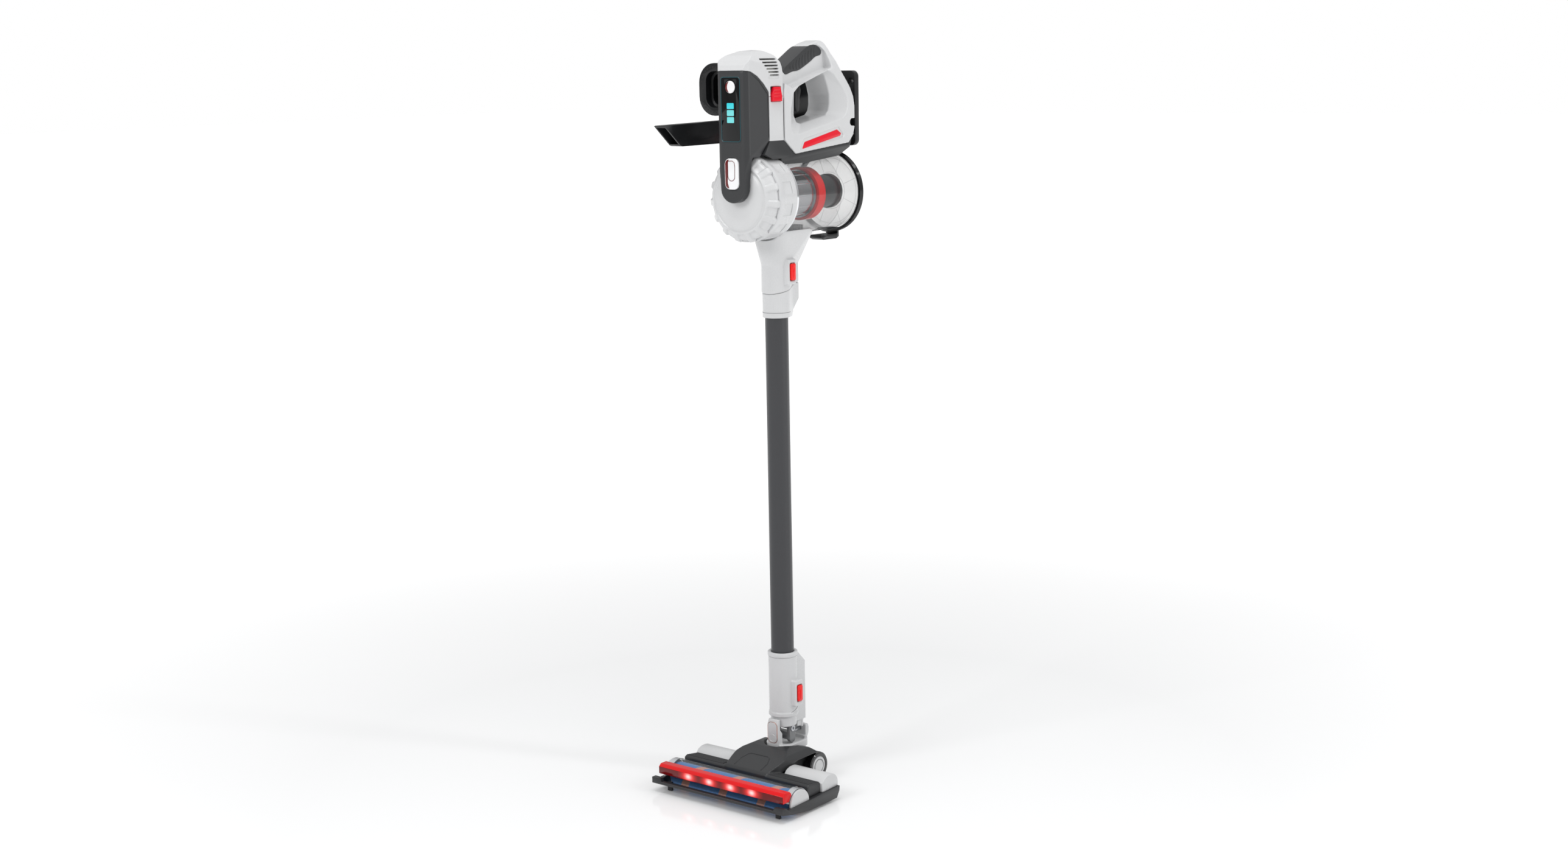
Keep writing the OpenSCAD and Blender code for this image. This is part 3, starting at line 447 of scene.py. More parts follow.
def makePerforated():
    # fine rows of round holes in the metal sleeve, by angle and length; their dark colour is painted shade
    material, tree, shader = newMaterial("perforatedSteel")
    low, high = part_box("mesh_filter")
    centreX, centreZ = (low.x + high.x) / 2, (low.z + high.z) / 2
    place = tree.nodes.new("ShaderNodeTexCoord")
    split = tree.nodes.new("ShaderNodeSeparateXYZ")
    tree.links.new(place.outputs["Object"], split.inputs[0])
    angle = mathNode(tree, "ARCTAN2", mathNode(tree, "SUBTRACT", split.outputs["Z"], centreZ),
                     mathNode(tree, "SUBTRACT", split.outputs["X"], centreX))
    across = mathNode(tree, "MULTIPLY", angle, perforated["radius"])
    wave = 2 * math.pi / perforated["pitch"]
    rows = mathNode(tree, "SINE", mathNode(tree, "MULTIPLY", across, wave))
    columns = mathNode(tree, "SINE", mathNode(tree, "MULTIPLY", split.outputs["Y"], wave))
    holes = mathNode(tree, "GREATER_THAN", mathNode(tree, "MULTIPLY", rows, columns), perforated["holeFrom"])
    # painted shade: the hole mask turns the steel dark
    tree.links.new(mixNode(tree, holes, perforated["steel"], perforated["holeShade"]), shader.inputs["Base Color"])
    bump = tree.nodes.new("ShaderNodeBump")
    bump.inputs["Strength"].default_value = perforated["bump"]
    bump.inputs["Distance"].default_value = perforated["bumpDistance"]
    bump.invert = True
    tree.links.new(holes, bump.inputs["Height"])
    tree.links.new(bump.outputs["Normal"], shader.inputs["Normal"])
    shader.inputs["Metallic"].default_value = 1.0
    shader.inputs["Roughness"].default_value = perforated["roughness"]
    return material


lamps = {
    "spacing": 0.0415, "height": 0.0325, "halfWidth": 0.0085, "halfHeight": 0.006, "fade": -0.55,
    "coreSharpness": 5.0, "dark": (0.05, 0.0, 0.0), "red": (1.0, 0.02, 0.02), "core": (1.0, 0.62, 0.6),
    "strength": 1.3, "lens": (0.07, 0.001, 0.002), "roughness": 0.12, "specular": 0.35,
}


def makeLampFront():
    # dark red lens with four lamps glowing behind it, spaced evenly along the bar
    material, tree, shader = newMaterial("lampFront")
    spacing = lamps["spacing"]
    place = tree.nodes.new("ShaderNodeTexCoord")
    split = tree.nodes.new("ShaderNodeSeparateXYZ")
    tree.links.new(place.outputs["Object"], split.inputs[0])
    steps = mathNode(tree, "DIVIDE", split.outputs["X"], spacing)
    near = mathNode(tree, "ABSOLUTE", mathNode(tree, "SUBTRACT", mathNode(tree, "FRACT", steps), 0.5))
    across = mathNode(tree, "MULTIPLY", near, spacing / lamps["halfWidth"])
    up = mathNode(tree, "DIVIDE", mathNode(tree, "SUBTRACT", split.outputs["Z"], lamps["height"]),
                  lamps["halfHeight"])
    reach = mathNode(tree, "ADD", mathNode(tree, "MULTIPLY", across, across),
                     mathNode(tree, "MULTIPLY", up, up))
    glow = mathNode(tree, "EXPONENT", mathNode(tree, "MULTIPLY", reach, lamps["fade"]))
    inside = mathNode(tree, "LESS_THAN", mathNode(tree, "ABSOLUTE", split.outputs["X"]), 2 * spacing)
    glow = mathNode(tree, "MULTIPLY", glow, inside)
    core = mathNode(tree, "POWER", glow, lamps["coreSharpness"])
    warm = mixNode(tree, glow, lamps["dark"], lamps["red"])
    tree.links.new(mixNode(tree, core, warm, lamps["core"]), shader.inputs["Emission Color"])
    shader.inputs["Emission Strength"].default_value = lamps["strength"]
    shader.inputs["Base Color"].default_value = (*lamps["lens"], 1)
    shader.inputs["Roughness"].default_value = lamps["roughness"]
    shader.inputs["Specular IOR Level"].default_value = lamps["specular"]
    return material


finishes["lampFront"] = makeLampFront()
finishes["plush"] = makeRollerPlush()
finishes["perforated"] = makePerforated()

nodeFinish = {
    "black": ["dock_plate", "dock_hook", "tool_pegs", "dusting_brush", "crevice_tool", "inlet_comb",
              "lid_rim", "lid_disc", "lid_latch", "trigger"],
    "white": ["filter_housing", "front_cap", "cup_neck", "body_column", "exhaust_cover", "handle_shell",
              "wand_collar", "connector", "neck_yoke", "rear_bars", "end_caps"],
    "graphite": ["cyclone_tube", "pod_shell", "grip_sleeve", "grip_strip", "lower_housing",
                 "head_base", "head_top"],
    "whiteGloss": ["power_button", "release_button"], "brass": ["dock_contacts"], "felt": ["pre_filter"],
    "chrome": ["flange_ring"], "clear": ["cup_shell", "rear_lid"], "clearCover": ["roller_cover"],
    "perforated": ["mesh_filter"], "red": ["filter_ring", "neck_button", "connector_button", "light_bar"],
    "crimson": ["cover_latch", "side_windows"], "display": ["display_glass"], "paper": ["exhaust_filter"],
    "motorBlack": ["motor_housing", "roller_motor"], "winding": ["motor_frame"],
    "steel": ["motor_rotor", "link_screw", "lean_pin", "impeller", "roller_core"], "board": ["circuit_board"],
    "cell": ["battery_cells"], "tube": ["wand_tube"], "kneeGrey": ["link_block"], "plush": ["roller_sleeve"],
    "blackGloss": ["wheel_left", "wheel_right"]}
for finishName, members in nodeFinish.items():
    for member in members:
        nodes[member].data.materials.clear()
        nodes[member].data.materials.append(finishes[finishName])
        focus(nodes[member])
        bpy.ops.object.shade_smooth_by_angle(angle=math.radians(32))
print("finishes placed")

softShells = [
    ("exhaust_cover", "exhaustDome", "exhaust_cover", "white", "shell_white", 0.65, 5, 0.4),
    ("handle_shell", "handleShell", "main_unit", "white", "shell_white", 0.9, 16, 0.5),
    ("cup_neck", "cupNeck", "cup", "white", "shell_white", 0.9, 10, 0.5),
    ("wand_collar", "wandCollar", "wand", "white", "shell_white", 0.8, 3, 0.5),
    ("connector", "kneeConnector", "knee", "white", "shell_white", 0.9, 4, 0.5),
    ("neck_yoke", "kneeYoke", "yoke", "white", "shell_white", 0.8, 5, 0.5),
    ("head_top", "headTop", "head", "graphite", "graphite", 1.1, 6, 0.5),
    ("pod_shell", "frontPod", "main_unit", "graphite", "graphite", 0.9, 4, 0.5),
]
crispShells = [
    ("body_column", "bodyColumn", "main_unit", "white", "shell_white", 0.8),
    ("lower_housing", "lowerHousing", "main_unit", "graphite", "graphite", 1.0),
    ("cover_latch", "coverLatch", "cover_latch", "crimson", "red_plastic", 0.6),
    ("side_windows", "sideWindows", "main_unit", "crimson", "red_plastic", 0.3),
    ("display_glass", "displayGlass", "main_unit", "display", "display_black", 0.25),
    ("grip_strip", "gripStrip", "main_unit", "graphite", "graphite", 0.9),
    ("trigger", "triggerLever", "trigger", "black", "black_plastic", 1.6),
    ("lid_latch", "lidCatch", "lid_latch", "black", "black_plastic", 0.7),
    ("link_block", "linkBlock", "knee", "kneeGrey", "knee_grey", 0.8),
    ("head_base", "headBase", "head", "graphite", "graphite", 0.8),
    ("rear_bars", "rearBars", "head", "white", "shell_white", 1.4),
    ("end_caps", "endCaps", "head", "white", "shell_white", 0.8),
    ("dock_plate", "dockPlate", "dock", "black", "black_plastic", 1.0),
    ("filter_housing", "filterHousing", "cup", "white", "shell_white", 0.9),
    ("crevice_tool", "creviceTool", "crevice_tool", "black", "black_plastic", 0.8),
    ("dusting_brush", "dustingBrush", "dusting_brush", "black", "black_plastic", 0.9),
]
for node, name, body, material, slot, voxel, rounds, keep in softShells:
    softShell(node, name, body, finishes[material], voxel, rounds, keep)
for node, name, body, material, slot, width in crispShells:
    crispShell(node, name, body, finishes[material], width)
print("shells rounded")


cupAxis = (0, 0, 902)


def cupPoint(radius, along, turn):
    # a place round the cup's own axis
    return (radius * math.cos(turn), along, cupAxis[2] + radius * math.sin(turn))


def cupRing(radius, along, count):
    return [cupPoint(radius, along, 2 * math.pi * i / count) for i in range(count)]


frontCap = {
    "lobes": 15, "pocket": 3.4, "lobeStart": 51, "lobeFade": 5, "steps": 300,
    "lipHeight": -65.9, "lipRadius": 60, "ribFrom": 0.05, "ribSpan": 0.5,
    "profile": [(28, -82), (43.6, -82), (44.4, -81.4), (45.2, -80.9), (46.8, -80.9), (47.6, -81.4),
                (48.6, -81.9), (50, -81.7), (51.2, -81), (53, -79.9), (56, -77.8), (59, -75.7), (61.5, -74),
                (63.2, -72.4), (64.2, -70.5), (64.4, -68.5), (64.3, -66.5), (63.6, -66), (54, -66), (54, -73),
                (20, -74)],
}


def makeFrontCap():
    def lobed(radius, height, turn):
        inLip = height > frontCap["lipHeight"] and radius < frontCap["lipRadius"]
        if radius < frontCap["lobeStart"] or inLip:
            return radius
        wave = math.cos(frontCap["lobes"] * turn)
        rib = min(1.0, max(0.0, (wave - frontCap["ribFrom"]) / frontCap["ribSpan"]))
        rib = rib * rib * (3 - 2 * rib)
        reach = min(1.0, (radius - frontCap["lobeStart"]) / frontCap["lobeFade"])
        return radius - frontCap["pocket"] * (1 - rib) * reach
    piece = lathe(frontCap["profile"], frontCap["steps"], cupAxis, "y", lobed)
    finish(piece, "frontCap", "front_cap", finishes["white"], ("front_cap",), 40)


cupDetails = {
    "rimBeads": ((129.8, 62.4), (132.2, 62.5), (134.6, 62.4), (136.9, 61.6)), "rimBead": 0.55,
    "step": [(58.6, 86), (59.1, 86.4), (59.1, 87.6), (58.6, 88), (58.4, 88), (58.4, 86)],
    "ribCount": 8, "ribFrom": 30, "ribTo": 54, "ribPlane": 135.3, "ribRings": (28, 50), "ringPlane": 135.2,
    "rib": 0.5,
    "barCount": 12, "barRadius": 33.6, "barFrom": -22, "barTo": 54, "bar": 0.7,
    "edge": [(61.7, -23.6), (62.0, -23.2), (62.0, -22.4), (61.7, -22), (61.2, -22), (61.2, -23.6)],
}


def makeCupDetails():
    look = cupDetails
    beads = [tube(cupRing(radius, along, 120), look["rimBead"], 8, True)
             for along, radius in look["rimBeads"]]
    finish(join(beads), "lidRimBeads", "rear_lid", finishes["blackGloss"])
    finish(lathe(look["step"], 120, cupAxis, "y"), "cupStepRing", "cup", finishes["clear"])
    ribs = []
    for i in range(look["ribCount"]):
        turn = math.radians(22.5 + 45 * i)
        ends = [cupPoint(reach, look["ribPlane"], turn) for reach in (look["ribFrom"], look["ribTo"])]
        ribs.append(tube(ends, look["rib"]))
    for radius in look["ribRings"]:
        ribs.append(tube(cupRing(radius, look["ringPlane"], 90), look["rib"], 8, True))
    finish(join(ribs), "lidRibs", "rear_lid", finishes["clear"])
    bars = []
    for i in range(look["barCount"]):
        turn = 2 * math.pi * i / look["barCount"]
        ends = [cupPoint(look["barRadius"], along, turn) for along in (look["barFrom"], look["barTo"])]
        bars.append(tube(ends, look["bar"]))
    finish(join(bars), "sleeveBars", "cup", finishes["chrome"])
    finish(lathe(look["edge"], 120, cupAxis, "y"), "flangeEdge", "cup", finishes["chrome"])


display = {
    "frame": (-17.5, 986, 17.5, 1078, 4), "framePlane": -96.95, "frameBead": 0.4,
    "lights": ((1037, "cyanBright"), (1027, "cyanSoft"), (1017, "cyanSoft")),
    "lightFrom": -7, "lightTo": 6, "lightHalf": 4.2, "lightCorner": 1.2,
    "lightFront": -97.3, "lightBack": -96.6,
}
power = {
    "centre": (0, 0, 1064),
    "disc": [(0.4, -98.2), (6.5, -98.2), (8, -98), (8.8, -97.4), (9, -96.6), (9, -92.2), (0.4, -92.2)],
    "ring": [(9.5, -97.4), (10.4, -97.4), (10.4, -96.2), (9.5, -96.2), (9.5, -97.4)],
    # the shade outline is a painted reflection: a dark-red crescent on the left of the white disc
    "shade": arcPoints(0, 1064, 8.1, 108, 252, 16) + arcPoints(5.5, 1064, 10.5, 226, 134, 12),
    "reflectionFront": -98.5, "reflectionBack": -98.05,
}
release = {
    "outline": (-13, 917, 13, 962, 9), "face": -98.2, "back": -90.3, "round": 1.2,
    # the shade outline is a painted reflection down the left side of the white capsule
    "shade": arcPoints(-4.6, 925.5, 6.8, 270, 180, 8) + arcPoints(-4.6, 953.5, 6.8, 180, 90, 8)
    + [(-7, 953), (-7, 926)],
    "reflectionFront": -98.5, "reflectionBack": -98.1,
    "mark": [(-6.5, 958)] + arcPoints(0, 936, 6.5, 180, 340, 12)
    + [(6.5, 950), (5.6, 956), (2, 958.2), (-6.5, 958)], "markPlane": -98.3, "markBead": 0.45,
}
podCrease = {"line": ((29.2, -84, 1082), (31.6, -70, 1072), (34, -53, 1052), (34, -52.5, 990)), "bead": 0.35}


def makeFront():
    edge = tube([(x, display["framePlane"], z) for x, z in roundRect(*display["frame"])],
                display["frameBead"], 8, True)
    finish(edge, "displayEdge", "main_unit", finishes["teal"])
    half = display["lightHalf"]
    for i, (z, glow) in enumerate(display["lights"]):
        outline = roundRect(display["lightFrom"], z - half, display["lightTo"], z + half,
                            display["lightCorner"])
        bar = prism(outline, "y", display["lightFront"], display["lightBack"], 0.2)
        finish(bar, "chargeLight%d" % (i + 1), "main_unit", finishes[glow])
    disc = lathe(power["disc"], 64, power["centre"], "y")
    finish(disc, "powerButton", "power_button", finishes["whiteGloss"], ("power_button",))
    # painted reflection: a thin dark-red crescent on the button's left, standing for what its gloss reflects
    shade = prism(power["shade"], "y", power["reflectionFront"], power["reflectionBack"], 0.1)
    finish(shade, "powerPaintedReflection", "power_button", finishes["darkRed"])
    ring = lathe(power["ring"], 64, power["centre"], "y")
    finish(ring, "powerSurround", "main_unit", finishes["display"])
    capsule = prism(roundRect(*release["outline"]), "y", release["back"], release["face"],
                    release["round"], 3)
    finish(capsule, "releaseCapsule", "release_button", finishes["whiteGloss"],
           ("release_button",))
    # painted reflection: a thin dark-red strip on the capsule's left, standing for what its gloss reflects
    side = prism(release["shade"], "y", release["reflectionFront"], release["reflectionBack"], 0.1)
    finish(side, "releasePaintedReflection", "release_button", finishes["darkRed"])
    mark = tube([(x, release["markPlane"], z) for x, z in release["mark"]], release["markBead"])
    finish(mark, "releaseOutline", "release_button", finishes["darkRed"])
    for side in (-1, 1):
        line = tube([(side * x, y, z) for x, y, z in podCrease["line"]], podCrease["bead"])
        finish(line, "podCrease" + "LR"[side > 0], "main_unit", finishes["black"])


wandButton = {"y": (-1.5, 9.5), "z": (0.5, 25.5), "corner": 2.6, "x": (27.3, 31.2), "round": 0.9,
              "thumb": (30.6, 4.6, 11), "thumbSize": (1.9, 3.4, 9.0)}


def makeWandButton(node, name, body, low):
    # a red push button with a low oval for the thumb; low is the foot of the button
    (y0, y1), (z0, z1) = wandButton["y"], wandButton["z"]
    outline = roundRect(y0, low + z0, y1, low + z1, wandButton["corner"])
    piece = prism(outline, "x", *wandButton["x"], wandButton["round"], 3)
    x, y, z = wandButton["thumb"]
    bpy.ops.object.select_all(action="DESELECT")
    bpy.ops.mesh.primitive_uv_sphere_add(segments=24, ring_count=14, radius=mm,
                                         location=(x * mm, y * mm, (low + z) * mm))
    thumb = bpy.context.active_object
    thumb.scale = wandButton["thumbSize"]
    settle(thumb)
    finish(join([piece, thumb]), name, body, finishes["red"], (node,))


def rounded(outline, rounds=2):
    # corners cut again and again until the outline flows
    for _ in range(rounds):
        finer = []
        for (a, b), (c, d) in zip(outline, outline[1:] + outline[:1]):
            finer += [(a * 0.78 + c * 0.22, b * 0.78 + d * 0.22), (a * 0.22 + c * 0.78, b * 0.22 + d * 0.78)]
        outline = finer
    return outline


grip = {
    "outline": [(4.6, 1084.8), (12, 1091.1), (15, 1092.6), (40, 1106.6), (62, 1119.1), (72, 1121.6),
                (80, 1122.4), (87, 1121.8), (94, 1118.8), (98.6, 1114), (99.1, 1109.5), (96, 1106.8),
                (84, 1104.8), (73, 1097.8), (44, 1084.8), (28, 1083.8), (13, 1078.8)],
    "halfWidth": 15.15, "round": 3.2,
    "ribs": 9, "ribStart": 22, "ribStep": 7.2, "ribSide": 15.1, "rib": 0.42,
    "topFrom": (12, 1091), "topRise": 0.467, "bottomFrom": (40, 1085), "bottomRise": 0.42,
}


def makeGrip():
    half = grip["halfWidth"]
    sleeve = prism(rounded(grip["outline"]), "x", -half, half, grip["round"], 5)
    finish(sleeve, "gripSleeve", "main_unit", finishes["graphite"], ("grip_sleeve",), 50)
    (topY, topZ), (bottomY, bottomZ) = grip["topFrom"], grip["bottomFrom"]
    ribs = []
    for i in range(grip["ribs"]):
        y = grip["ribStart"] + i * grip["ribStep"]
        top = topZ + (y - topY) * grip["topRise"]
        bottom = bottomZ + max(0, y - bottomY) * grip["bottomRise"]
        for side in (-1, 1):
            # each rib bows backwards on its way down the side
            bow = [(side * grip["ribSide"], y + 3 + 5 * t * t - 6 * t, top - 2 - (top - bottom - 4) * t)
                   for t in (j / 8 for j in range(9))]
            ribs.append(tube(bow, grip["rib"]))
    finish(join(ribs), "gripRibs", "main_unit", finishes["black"])


handleLines = {
    "windowSide": 35.2, "windowBead": 0.5,
    "window": ((20, 971), (27.5, 984.6), (112.6, 1000), (124, 988.5), (121, 984.2), (24, 969.2)),
    "ventSide": 34.05, "ventBead": 0.3, "vent": ((-50, 1075.5), (-28, 1075.5), (-28, 1079.5), (-50, 1079.5)),
}


def makeHandleLines():
    for kind, name, body in (("window", "windowFrame", "main_unit"), ("vent", "ventMark", "exhaust_cover")):
        for side in (-1, 1):
            line = [(side * handleLines[kind + "Side"], y, z) for y, z in handleLines[kind]]
            finish(tube(line, handleLines[kind + "Bead"], 8, True), name + "LR"[side > 0], body,
                   finishes["white"])


knee = {
    "pad": (-8.8, 64.6, 8.8, 97, 7), "padFront": -28.9, "padBack": -27.5, "padRound": 0.5,
    "edge": (-9.1, 64.3, 9.1, 97.3, 7.2), "edgePlane": -28.35, "edgeBead": 0.35,
    "dent": [(5.4, -28.9), (5.9, -29.2), (6.4, -28.9), (6.4, -28.5), (5.4, -28.5), (5.4, -28.9)],
    "dentCentre": (0, 0, 72),
    "grooves": ((113, 0.33, 22.1, "connectorGroove", "knee"), (198, 0.0, 22.05, "connectorTopLine", "knee"),
                (729, 0.0, 21.05, "collarLine", "wand")),
    "grooveStart": 62, "grooveSpan": 0.845, "grooveBead": 0.32, "grooveGap": 9,
}


def makeKnee():
    pad = prism(roundRect(*knee["pad"]), "y", knee["padFront"], knee["padBack"], knee["padRound"], 3)
    finish(pad, "yokePad", "yoke", finishes["white"])
    edge = tube([(x, knee["edgePlane"], z) for x, z in roundRect(*knee["edge"])], knee["edgeBead"], 8, True)
    finish(edge, "yokePadEdge", "yoke", finishes["copper"])
    dent = lathe(knee["dent"], 48, knee["dentCentre"], "y")
    finish(dent, "yokePadDent", "yoke", finishes["white"])
    turns = [math.radians(knee["grooveStart"]) - 2 * math.pi * i / 90 * knee["grooveSpan"]
             for i in range(1, 90)]
    for height, drop, radius, name, body in knee["grooves"]:
        ring = [(radius * math.cos(t), radius * math.sin(t), height + drop * radius * math.sin(t))
                for t in turns]
        ring = [p for p in ring if not (abs(p[0]) < knee["grooveGap"] and p[1] > 0)]
        finish(tube(ring, knee["grooveBead"]), name, body, finishes["kneeGrey"])


rollerAxis = (-120, 18.5)


def band(radiusOut, radiusIn, x0, x1, start, end):
    # a strip bent round the roller's axis
    outline = (arcPoints(*rollerAxis, radiusOut, start, end, 28)
               + arcPoints(*rollerAxis, radiusIn, end, start, 28))
    return prism(outline, "x", x0, x1)


headDetails = {
    "collars": ((22.95, 113, 121.8), (23.15, 112, 113)), "collarInside": 22.55, "collarArc": (12, 168),
    "ribs": 7, "ribStart": -91.5, "ribStep": 3.9, "ribInner": 46, "ribFlare": 0.6,
    "ribOuter": 119.5, "rib": 1.0,
    "ribSlope": 0.151, "ribTop": 39.5, "slopeFrom": 93, "tongueSlope": 0.3545, "tongueTop": 41.1,
    "tongue": ((26, -90), (26, -74), (20.5, -62), (16, -59.5), (-16, -59.5), (-20.5, -62), (-26, -74),
               (-26, -90)), "tongueBead": 0.6,
    "frontLine": ((-120, 22), (-114, 22), (-110, 16.8), (110, 16.8), (114, 22), (120, 22)),
    "frontPlane": -164.65, "frontBead": 0.3,
}


def makeHeadDetails():
    look = headDetails
    collars = [band(radius, look["collarInside"], side * inner, side * outer, *look["collarArc"])
               for radius, inner, outer in look["collars"] for side in (-1, 1)]
    finish(join(collars), "coverCollars", "head", finishes["chrome"])
    ribs = []
    for i in range(look["ribs"]):
        y = look["ribStart"] + i * look["ribStep"]
        z = look["ribTop"] - (y + look["slopeFrom"]) * look["ribSlope"]
        for side in (-1, 1):
            ribs.append(tube([(side * (look["ribInner"] + i * look["ribFlare"]), y, z),
                              (side * look["ribOuter"], y, z)], look["rib"], 12))
    finish(join(ribs), "wingRibs", "head", finishes["graphite"])
    bead = tube([(x, y, look["tongueTop"] + (y + look["slopeFrom"]) * look["tongueSlope"])
                 for x, y in look["tongue"]], look["tongueBead"])
    finish(bead, "tongueOutline", "head", finishes["graphite"])
    line = tube([(x, look["frontPlane"], z) for x, z in look["frontLine"]], look["frontBead"])
    finish(line, "frameLine", "head", finishes["kneeGrey"])


lightBar = {
    "outline": [(-156, 26.5), (-156, 37.5), (-151.5, 41.5), (-139.5, 41.5), (-136.2, 38.2)]
    + arcPoints(*rollerAxis, 22.65, 132, 159.3, 8),
    "halfLength": 121.5, "round": 0.4, "lensFacing": -0.8, "lensAbove": 0.025,
}


def makeLightBar():
    half = lightBar["halfLength"]
    piece = prism(lightBar["outline"], "x", -half, half, lightBar["round"])
    finish(piece, "lightBar", "head", finishes["lampTop"], ("light_bar",))
    piece.data.materials.append(finishes["lampFront"])
    for face in piece.data.polygons:
        if face.normal.y < lightBar["lensFacing"] and face.center.z > lightBar["lensAbove"]:
            face.material_index = 1


roller = {"centre": (0, -120, 18.5), "core": 12.1, "nap": 18.2, "napRows": 114, "napLength": 228, "steps": 72,
          "tuftFrom": 17, "tuftDepth": 0.35, "tufts": 9, "tuftTwist": 0.75}


def makeRoller():
    def tufted(radius, height, turn):
        if radius < roller["tuftFrom"]:
            return radius
        wave = math.sin(roller["tufts"] * turn + height * roller["tuftTwist"])
        return radius - roller["tuftDepth"] * (0.5 + 0.5 * wave)
    core, rows = roller["core"], roller["napRows"]
    profile = [(core, -116), (17, -116), (18.0, -115)]
    profile += [(roller["nap"], -114 + roller["napLength"] * i / rows) for i in range(rows + 1)]
    profile += [(18.0, 115), (17, 116), (core, 116), (core, -116)]
    piece = lathe(profile, roller["steps"], roller["centre"], "x", tufted)
    finish(piece, "rollerPlush", "roller", finishes["plush"], ("roller_sleeve",), 60)


wheel = {
    "centre": (0, 23, 22.5), "steps": 72,
    "tyre": [(15.5, 50.1), (17, 50.4), (20.3, 50.2), (21.9, 48.8), (22.5, 46), (22.5, 40.6), (21.9, 37.8),
             (20.3, 36.4), (17, 36.2), (15.5, 36.4), (15.5, 50.1)],
    "hub": [(1, 50.35), (9.4, 50.35), (9.9, 49.6), (11.3, 49.6), (11.8, 50.2), (14.4, 50.0), (15.4, 49.2),
            (15.4, 37), (3.1, 37)],
    "ring": [(10.1, 49.6), (10.3, 50.1), (11.0, 50.1), (11.2, 49.6), (10.1, 49.6)],
}


def makeWheel(side, node, name):
    tyre, hub, ring = (lathe([(radius, side * x) for radius, x in wheel[part]], wheel["steps"],
                             wheel["centre"], "x") for part in ("tyre", "hub", "ring"))
    finish(tyre, name + "Tyre", node, finishes["blackGloss"], (node,))
    finish(hub, name + "Hub", node, finishes["white"])
    finish(ring, name + "Ring", node, finishes["kneeGrey"])


brushHoles = {
    "ring": (-119.5, 1026, -70.5, 1092, 22, 12), "count": 34,
    "profile": [(0.3, -20.25), (1.2, -20.25), (1.5, -20.05), (1.5, -19.5), (0.3, -19.5)],
}
gripDots = {"rows": range(-2, 3), "longest": 5, "centreY": -92, "centreZ": 996, "stepY": 3.2, "stepZ": 2.8,
            "profile": [(0.2, -83.8), (0.9, -83.8), (1.0, -84.3), (0.2, -84.3)]}


def makeToolDetails():
    # tuft holes spaced evenly round the brush's rim
    track = []
    total = 0
    ring = roundRect(*brushHoles["ring"])
    for a, b in zip(ring, ring[1:] + ring[:1]):
        track.append((total, a, b))
        total += math.dist(a, b)
    holes = []
    for i in range(brushHoles["count"]):
        want = total * i / brushHoles["count"]
        start, a, b = [row for row in track if row[0] <= want][-1]
        t = (want - start) / (math.dist(a, b) or 1)
        x, z = a[0] + (b[0] - a[0]) * t, a[1] + (b[1] - a[1]) * t
        # each hole is a near-black disc: painted shade inside the hole
        holes.append(lathe(brushHoles["profile"], 12, (x, 0, z), "y"))
    finish(join(holes), "brushTuftHoles", "dusting_brush", finishes["pitShade"])
    # a diamond of grip dots on the crevice tool
    dots = []
    for row in gripDots["rows"]:
        last = gripDots["longest"] - 1 - abs(row)
        for column in range(last + 1):
            y = gripDots["centreY"] + (column - last / 2) * gripDots["stepY"]
            z = gripDots["centreZ"] + row * gripDots["stepZ"]
            # each dot is near-black: painted shade, as in the brush holes
            dots.append(lathe(gripDots["profile"], 8, (0, y, z), "x"))
    finish(join(dots), "creviceDots", "crevice_tool", finishes["pitShade"])


makeFrontCap()
makeCupDetails()
makeFront()
print("cup and front made")
makeWandButton("neck_button", "neckButton", "neck_button", 777)
makeWandButton("connector_button", "connectorButton", "connector_button", 128)
makeGrip()
makeHandleLines()
makeKnee()
print("handle and knee made")
makeHeadDetails()
makeLightBar()
makeRoller()
makeWheel(-1, "wheel_left", "wheelLeft")
makeWheel(1, "wheel_right", "wheelRight")
makeToolDetails()
print("floor head and tools made")


studio = {
    "cameraPlace": (2.0401, -2.5236, 1.1125), "azimuth": 38.807, "down": 9.708, "roll": -1.0, "lens": 50.0,
    "floorSize": 60.0, "floorDrop": -0.0005, "shadowReach": 0.75, "whiteFrom": 2.4, "floorGloss": 0.1,
    "floorNear": (0.93, 0.935, 0.94), "floorFar": (0.3, 0.3, 0.3), "glowNear": (0.06, 0.06, 0.06),
    "glowFar": (1.0, 1.0, 1.0), "glowStrength": 0.9,
    "worldLow": 0.34, "worldHigh": 0.72, "worldLift": 1.6, "worldSide": 0.25,
    # name, place, aimed at, width, height, power
    "lights": [
        ("keyLight", (-0.6, -3.3, 2.5), (0, 0, 0.7), 1.3, 1.3, 42.0),
        ("sideStrip", (2.9, 0.9, 1.9), (0, 0, 0.8), 0.3, 2.4, 24.0),
        ("topLight", (0.4, -0.4, 3.6), (0, 0, 0.0), 1.6, 1.6, 30.0),
    ],
}


def makeFloor():
    bpy.ops.object.select_all(action="DESELECT")
    bpy.ops.mesh.primitive_plane_add(size=studio["floorSize"], location=(0, 0, studio["floorDrop"]))
    floor = bpy.context.active_object
    floor.name = "studioFloor"
    settle(floor)
    # pale and glossy under the head, fading into even white further out
    material, tree, shader = newMaterial("studioFloorPale")
    place = tree.nodes.new("ShaderNodeTexCoord")
    length = tree.nodes.new("ShaderNodeVectorMath")
    length.operation = "LENGTH"
    tree.links.new(place.outputs["Object"], length.inputs[0])
    span = studio["whiteFrom"] - studio["shadowReach"]
    out = mathNode(tree, "SUBTRACT", length.outputs["Value"], studio["shadowReach"])
    out = mathNode(tree, "DIVIDE", out, span)
    out = mathNode(tree, "MINIMUM", mathNode(tree, "MAXIMUM", out, 0.0), 1.0)
    tree.links.new(mixNode(tree, out, studio["floorNear"], studio["floorFar"]), shader.inputs["Base Color"])
    tree.links.new(mixNode(tree, out, studio["glowNear"], studio["glowFar"]), shader.inputs["Emission Color"])
    shader.inputs["Emission Strength"].default_value = studio["glowStrength"]
    shader.inputs["Roughness"].default_value = studio["floorGloss"]
    floor.data.materials.append(material)


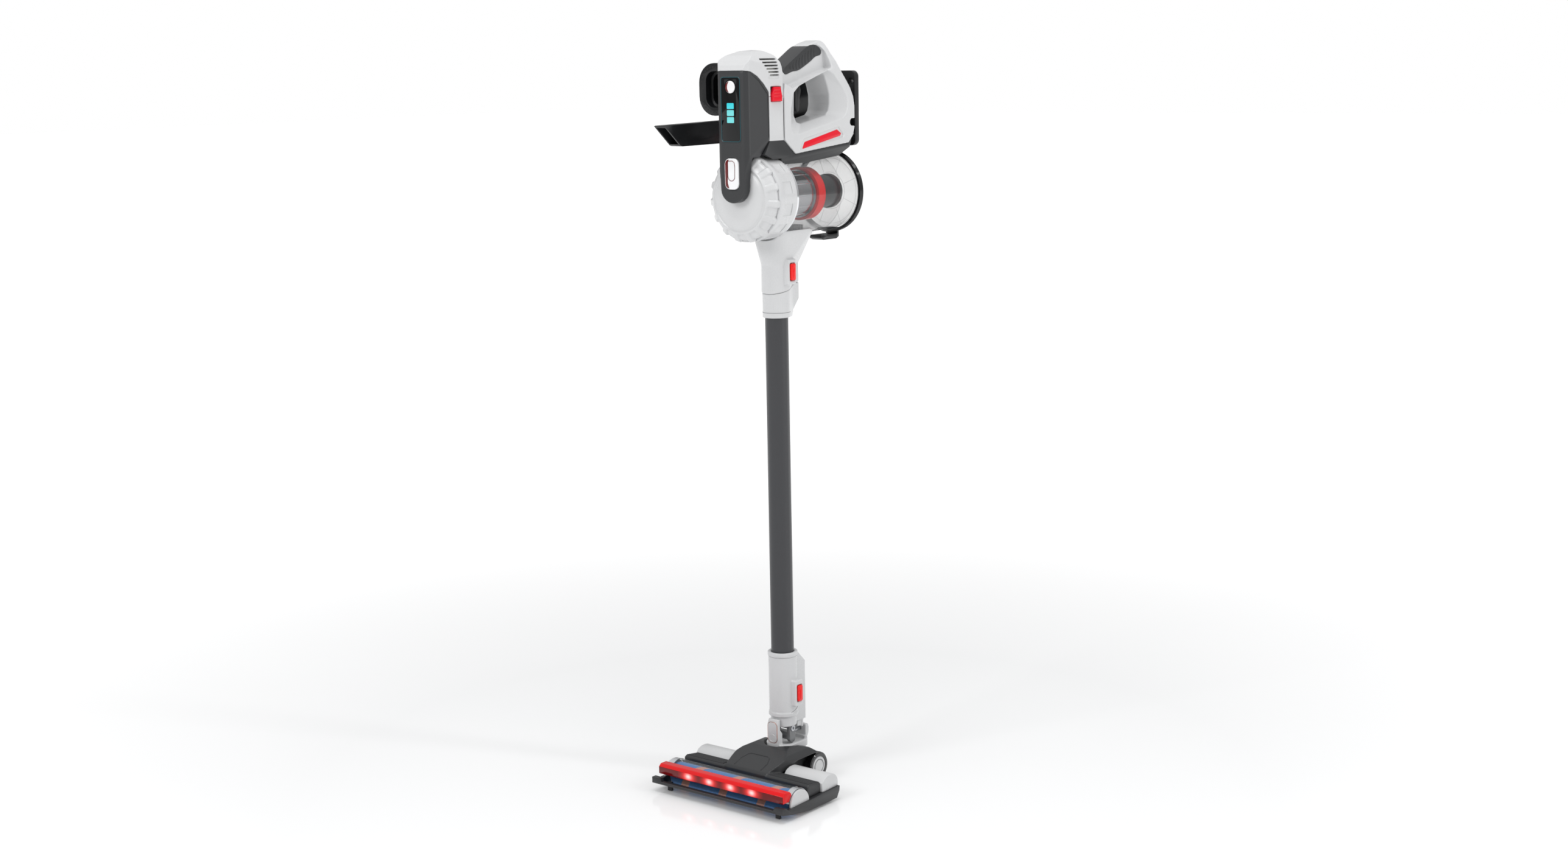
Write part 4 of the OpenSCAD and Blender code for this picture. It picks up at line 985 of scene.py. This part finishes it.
def makeLights():
    # the camera sees plain white; the object sees a soft room, dim near the horizon and bright above
    world = bpy.data.worlds.new("studioWorld")
    world.use_nodes = True
    tree = world.node_tree
    back = tree.nodes["Background"]
    place = tree.nodes.new("ShaderNodeTexCoord")
    split = tree.nodes.new("ShaderNodeSeparateXYZ")
    tree.links.new(place.outputs["Generated"], split.inputs[0])
    lift = mathNode(tree, "MULTIPLY", mathNode(tree, "MAXIMUM", split.outputs["Z"], 0.0), studio["worldLift"])
    side = mathNode(tree, "MULTIPLY", split.outputs["X"], studio["worldSide"])
    amount = mathNode(tree, "MAXIMUM", mathNode(tree, "ADD", lift, side), 0.0)
    amount = mathNode(tree, "MINIMUM", amount, 1.0)
    span = studio["worldHigh"] - studio["worldLow"]
    room = mathNode(tree, "ADD", mathNode(tree, "MULTIPLY", amount, span), studio["worldLow"])
    ray = tree.nodes.new("ShaderNodeLightPath")
    seen = ray.outputs["Is Camera Ray"]
    lack = mathNode(tree, "SUBTRACT", 1.0, room)
    strength = mathNode(tree, "ADD", mathNode(tree, "MULTIPLY", seen, lack), room)
    tree.links.new(strength, back.inputs[1])
    back.inputs[0].default_value = (1, 1, 1, 1)
    bpy.context.scene.world = world
    for name, place, target, width, height, power in studio["lights"]:
        lamp = bpy.data.lights.new(name, "AREA")
        lamp.shape = "RECTANGLE"
        lamp.size = width
        lamp.size_y = height
        lamp.energy = power
        light = bpy.data.objects.new(name, lamp)
        light.location = place
        light.rotation_euler = (Vector(target) - Vector(place)).to_track_quat("-Z", "Y").to_euler()
        bpy.context.scene.collection.objects.link(light)


def makeCamera():
    azimuth, down, roll = (math.radians(studio[key]) for key in ("azimuth", "down", "roll"))
    forward = Vector((-math.sin(azimuth) * math.cos(down), math.cos(azimuth) * math.cos(down),
                      -math.sin(down)))
    right = Vector((math.cos(azimuth), math.sin(azimuth), 0))
    up = right.cross(forward)
    rolledRight = right * math.cos(roll) + up * math.sin(roll)
    rolledUp = up * math.cos(roll) - right * math.sin(roll)
    data = bpy.data.cameras.new("studioCamera")
    data.lens = studio["lens"]
    data.sensor_width = 36.0
    data.sensor_fit = "HORIZONTAL"
    camera = bpy.data.objects.new("studioCamera", data)
    camera.matrix_world = Matrix.Translation(studio["cameraPlace"]) @ Matrix(
        (rolledRight, rolledUp, -forward)).transposed().to_4x4()
    bpy.context.scene.collection.objects.link(camera)
    bpy.context.scene.camera = camera


makeFloor()
makeLights()
makeCamera()
bpy.context.scene.view_settings.view_transform = "Standard"
print("studio ready")
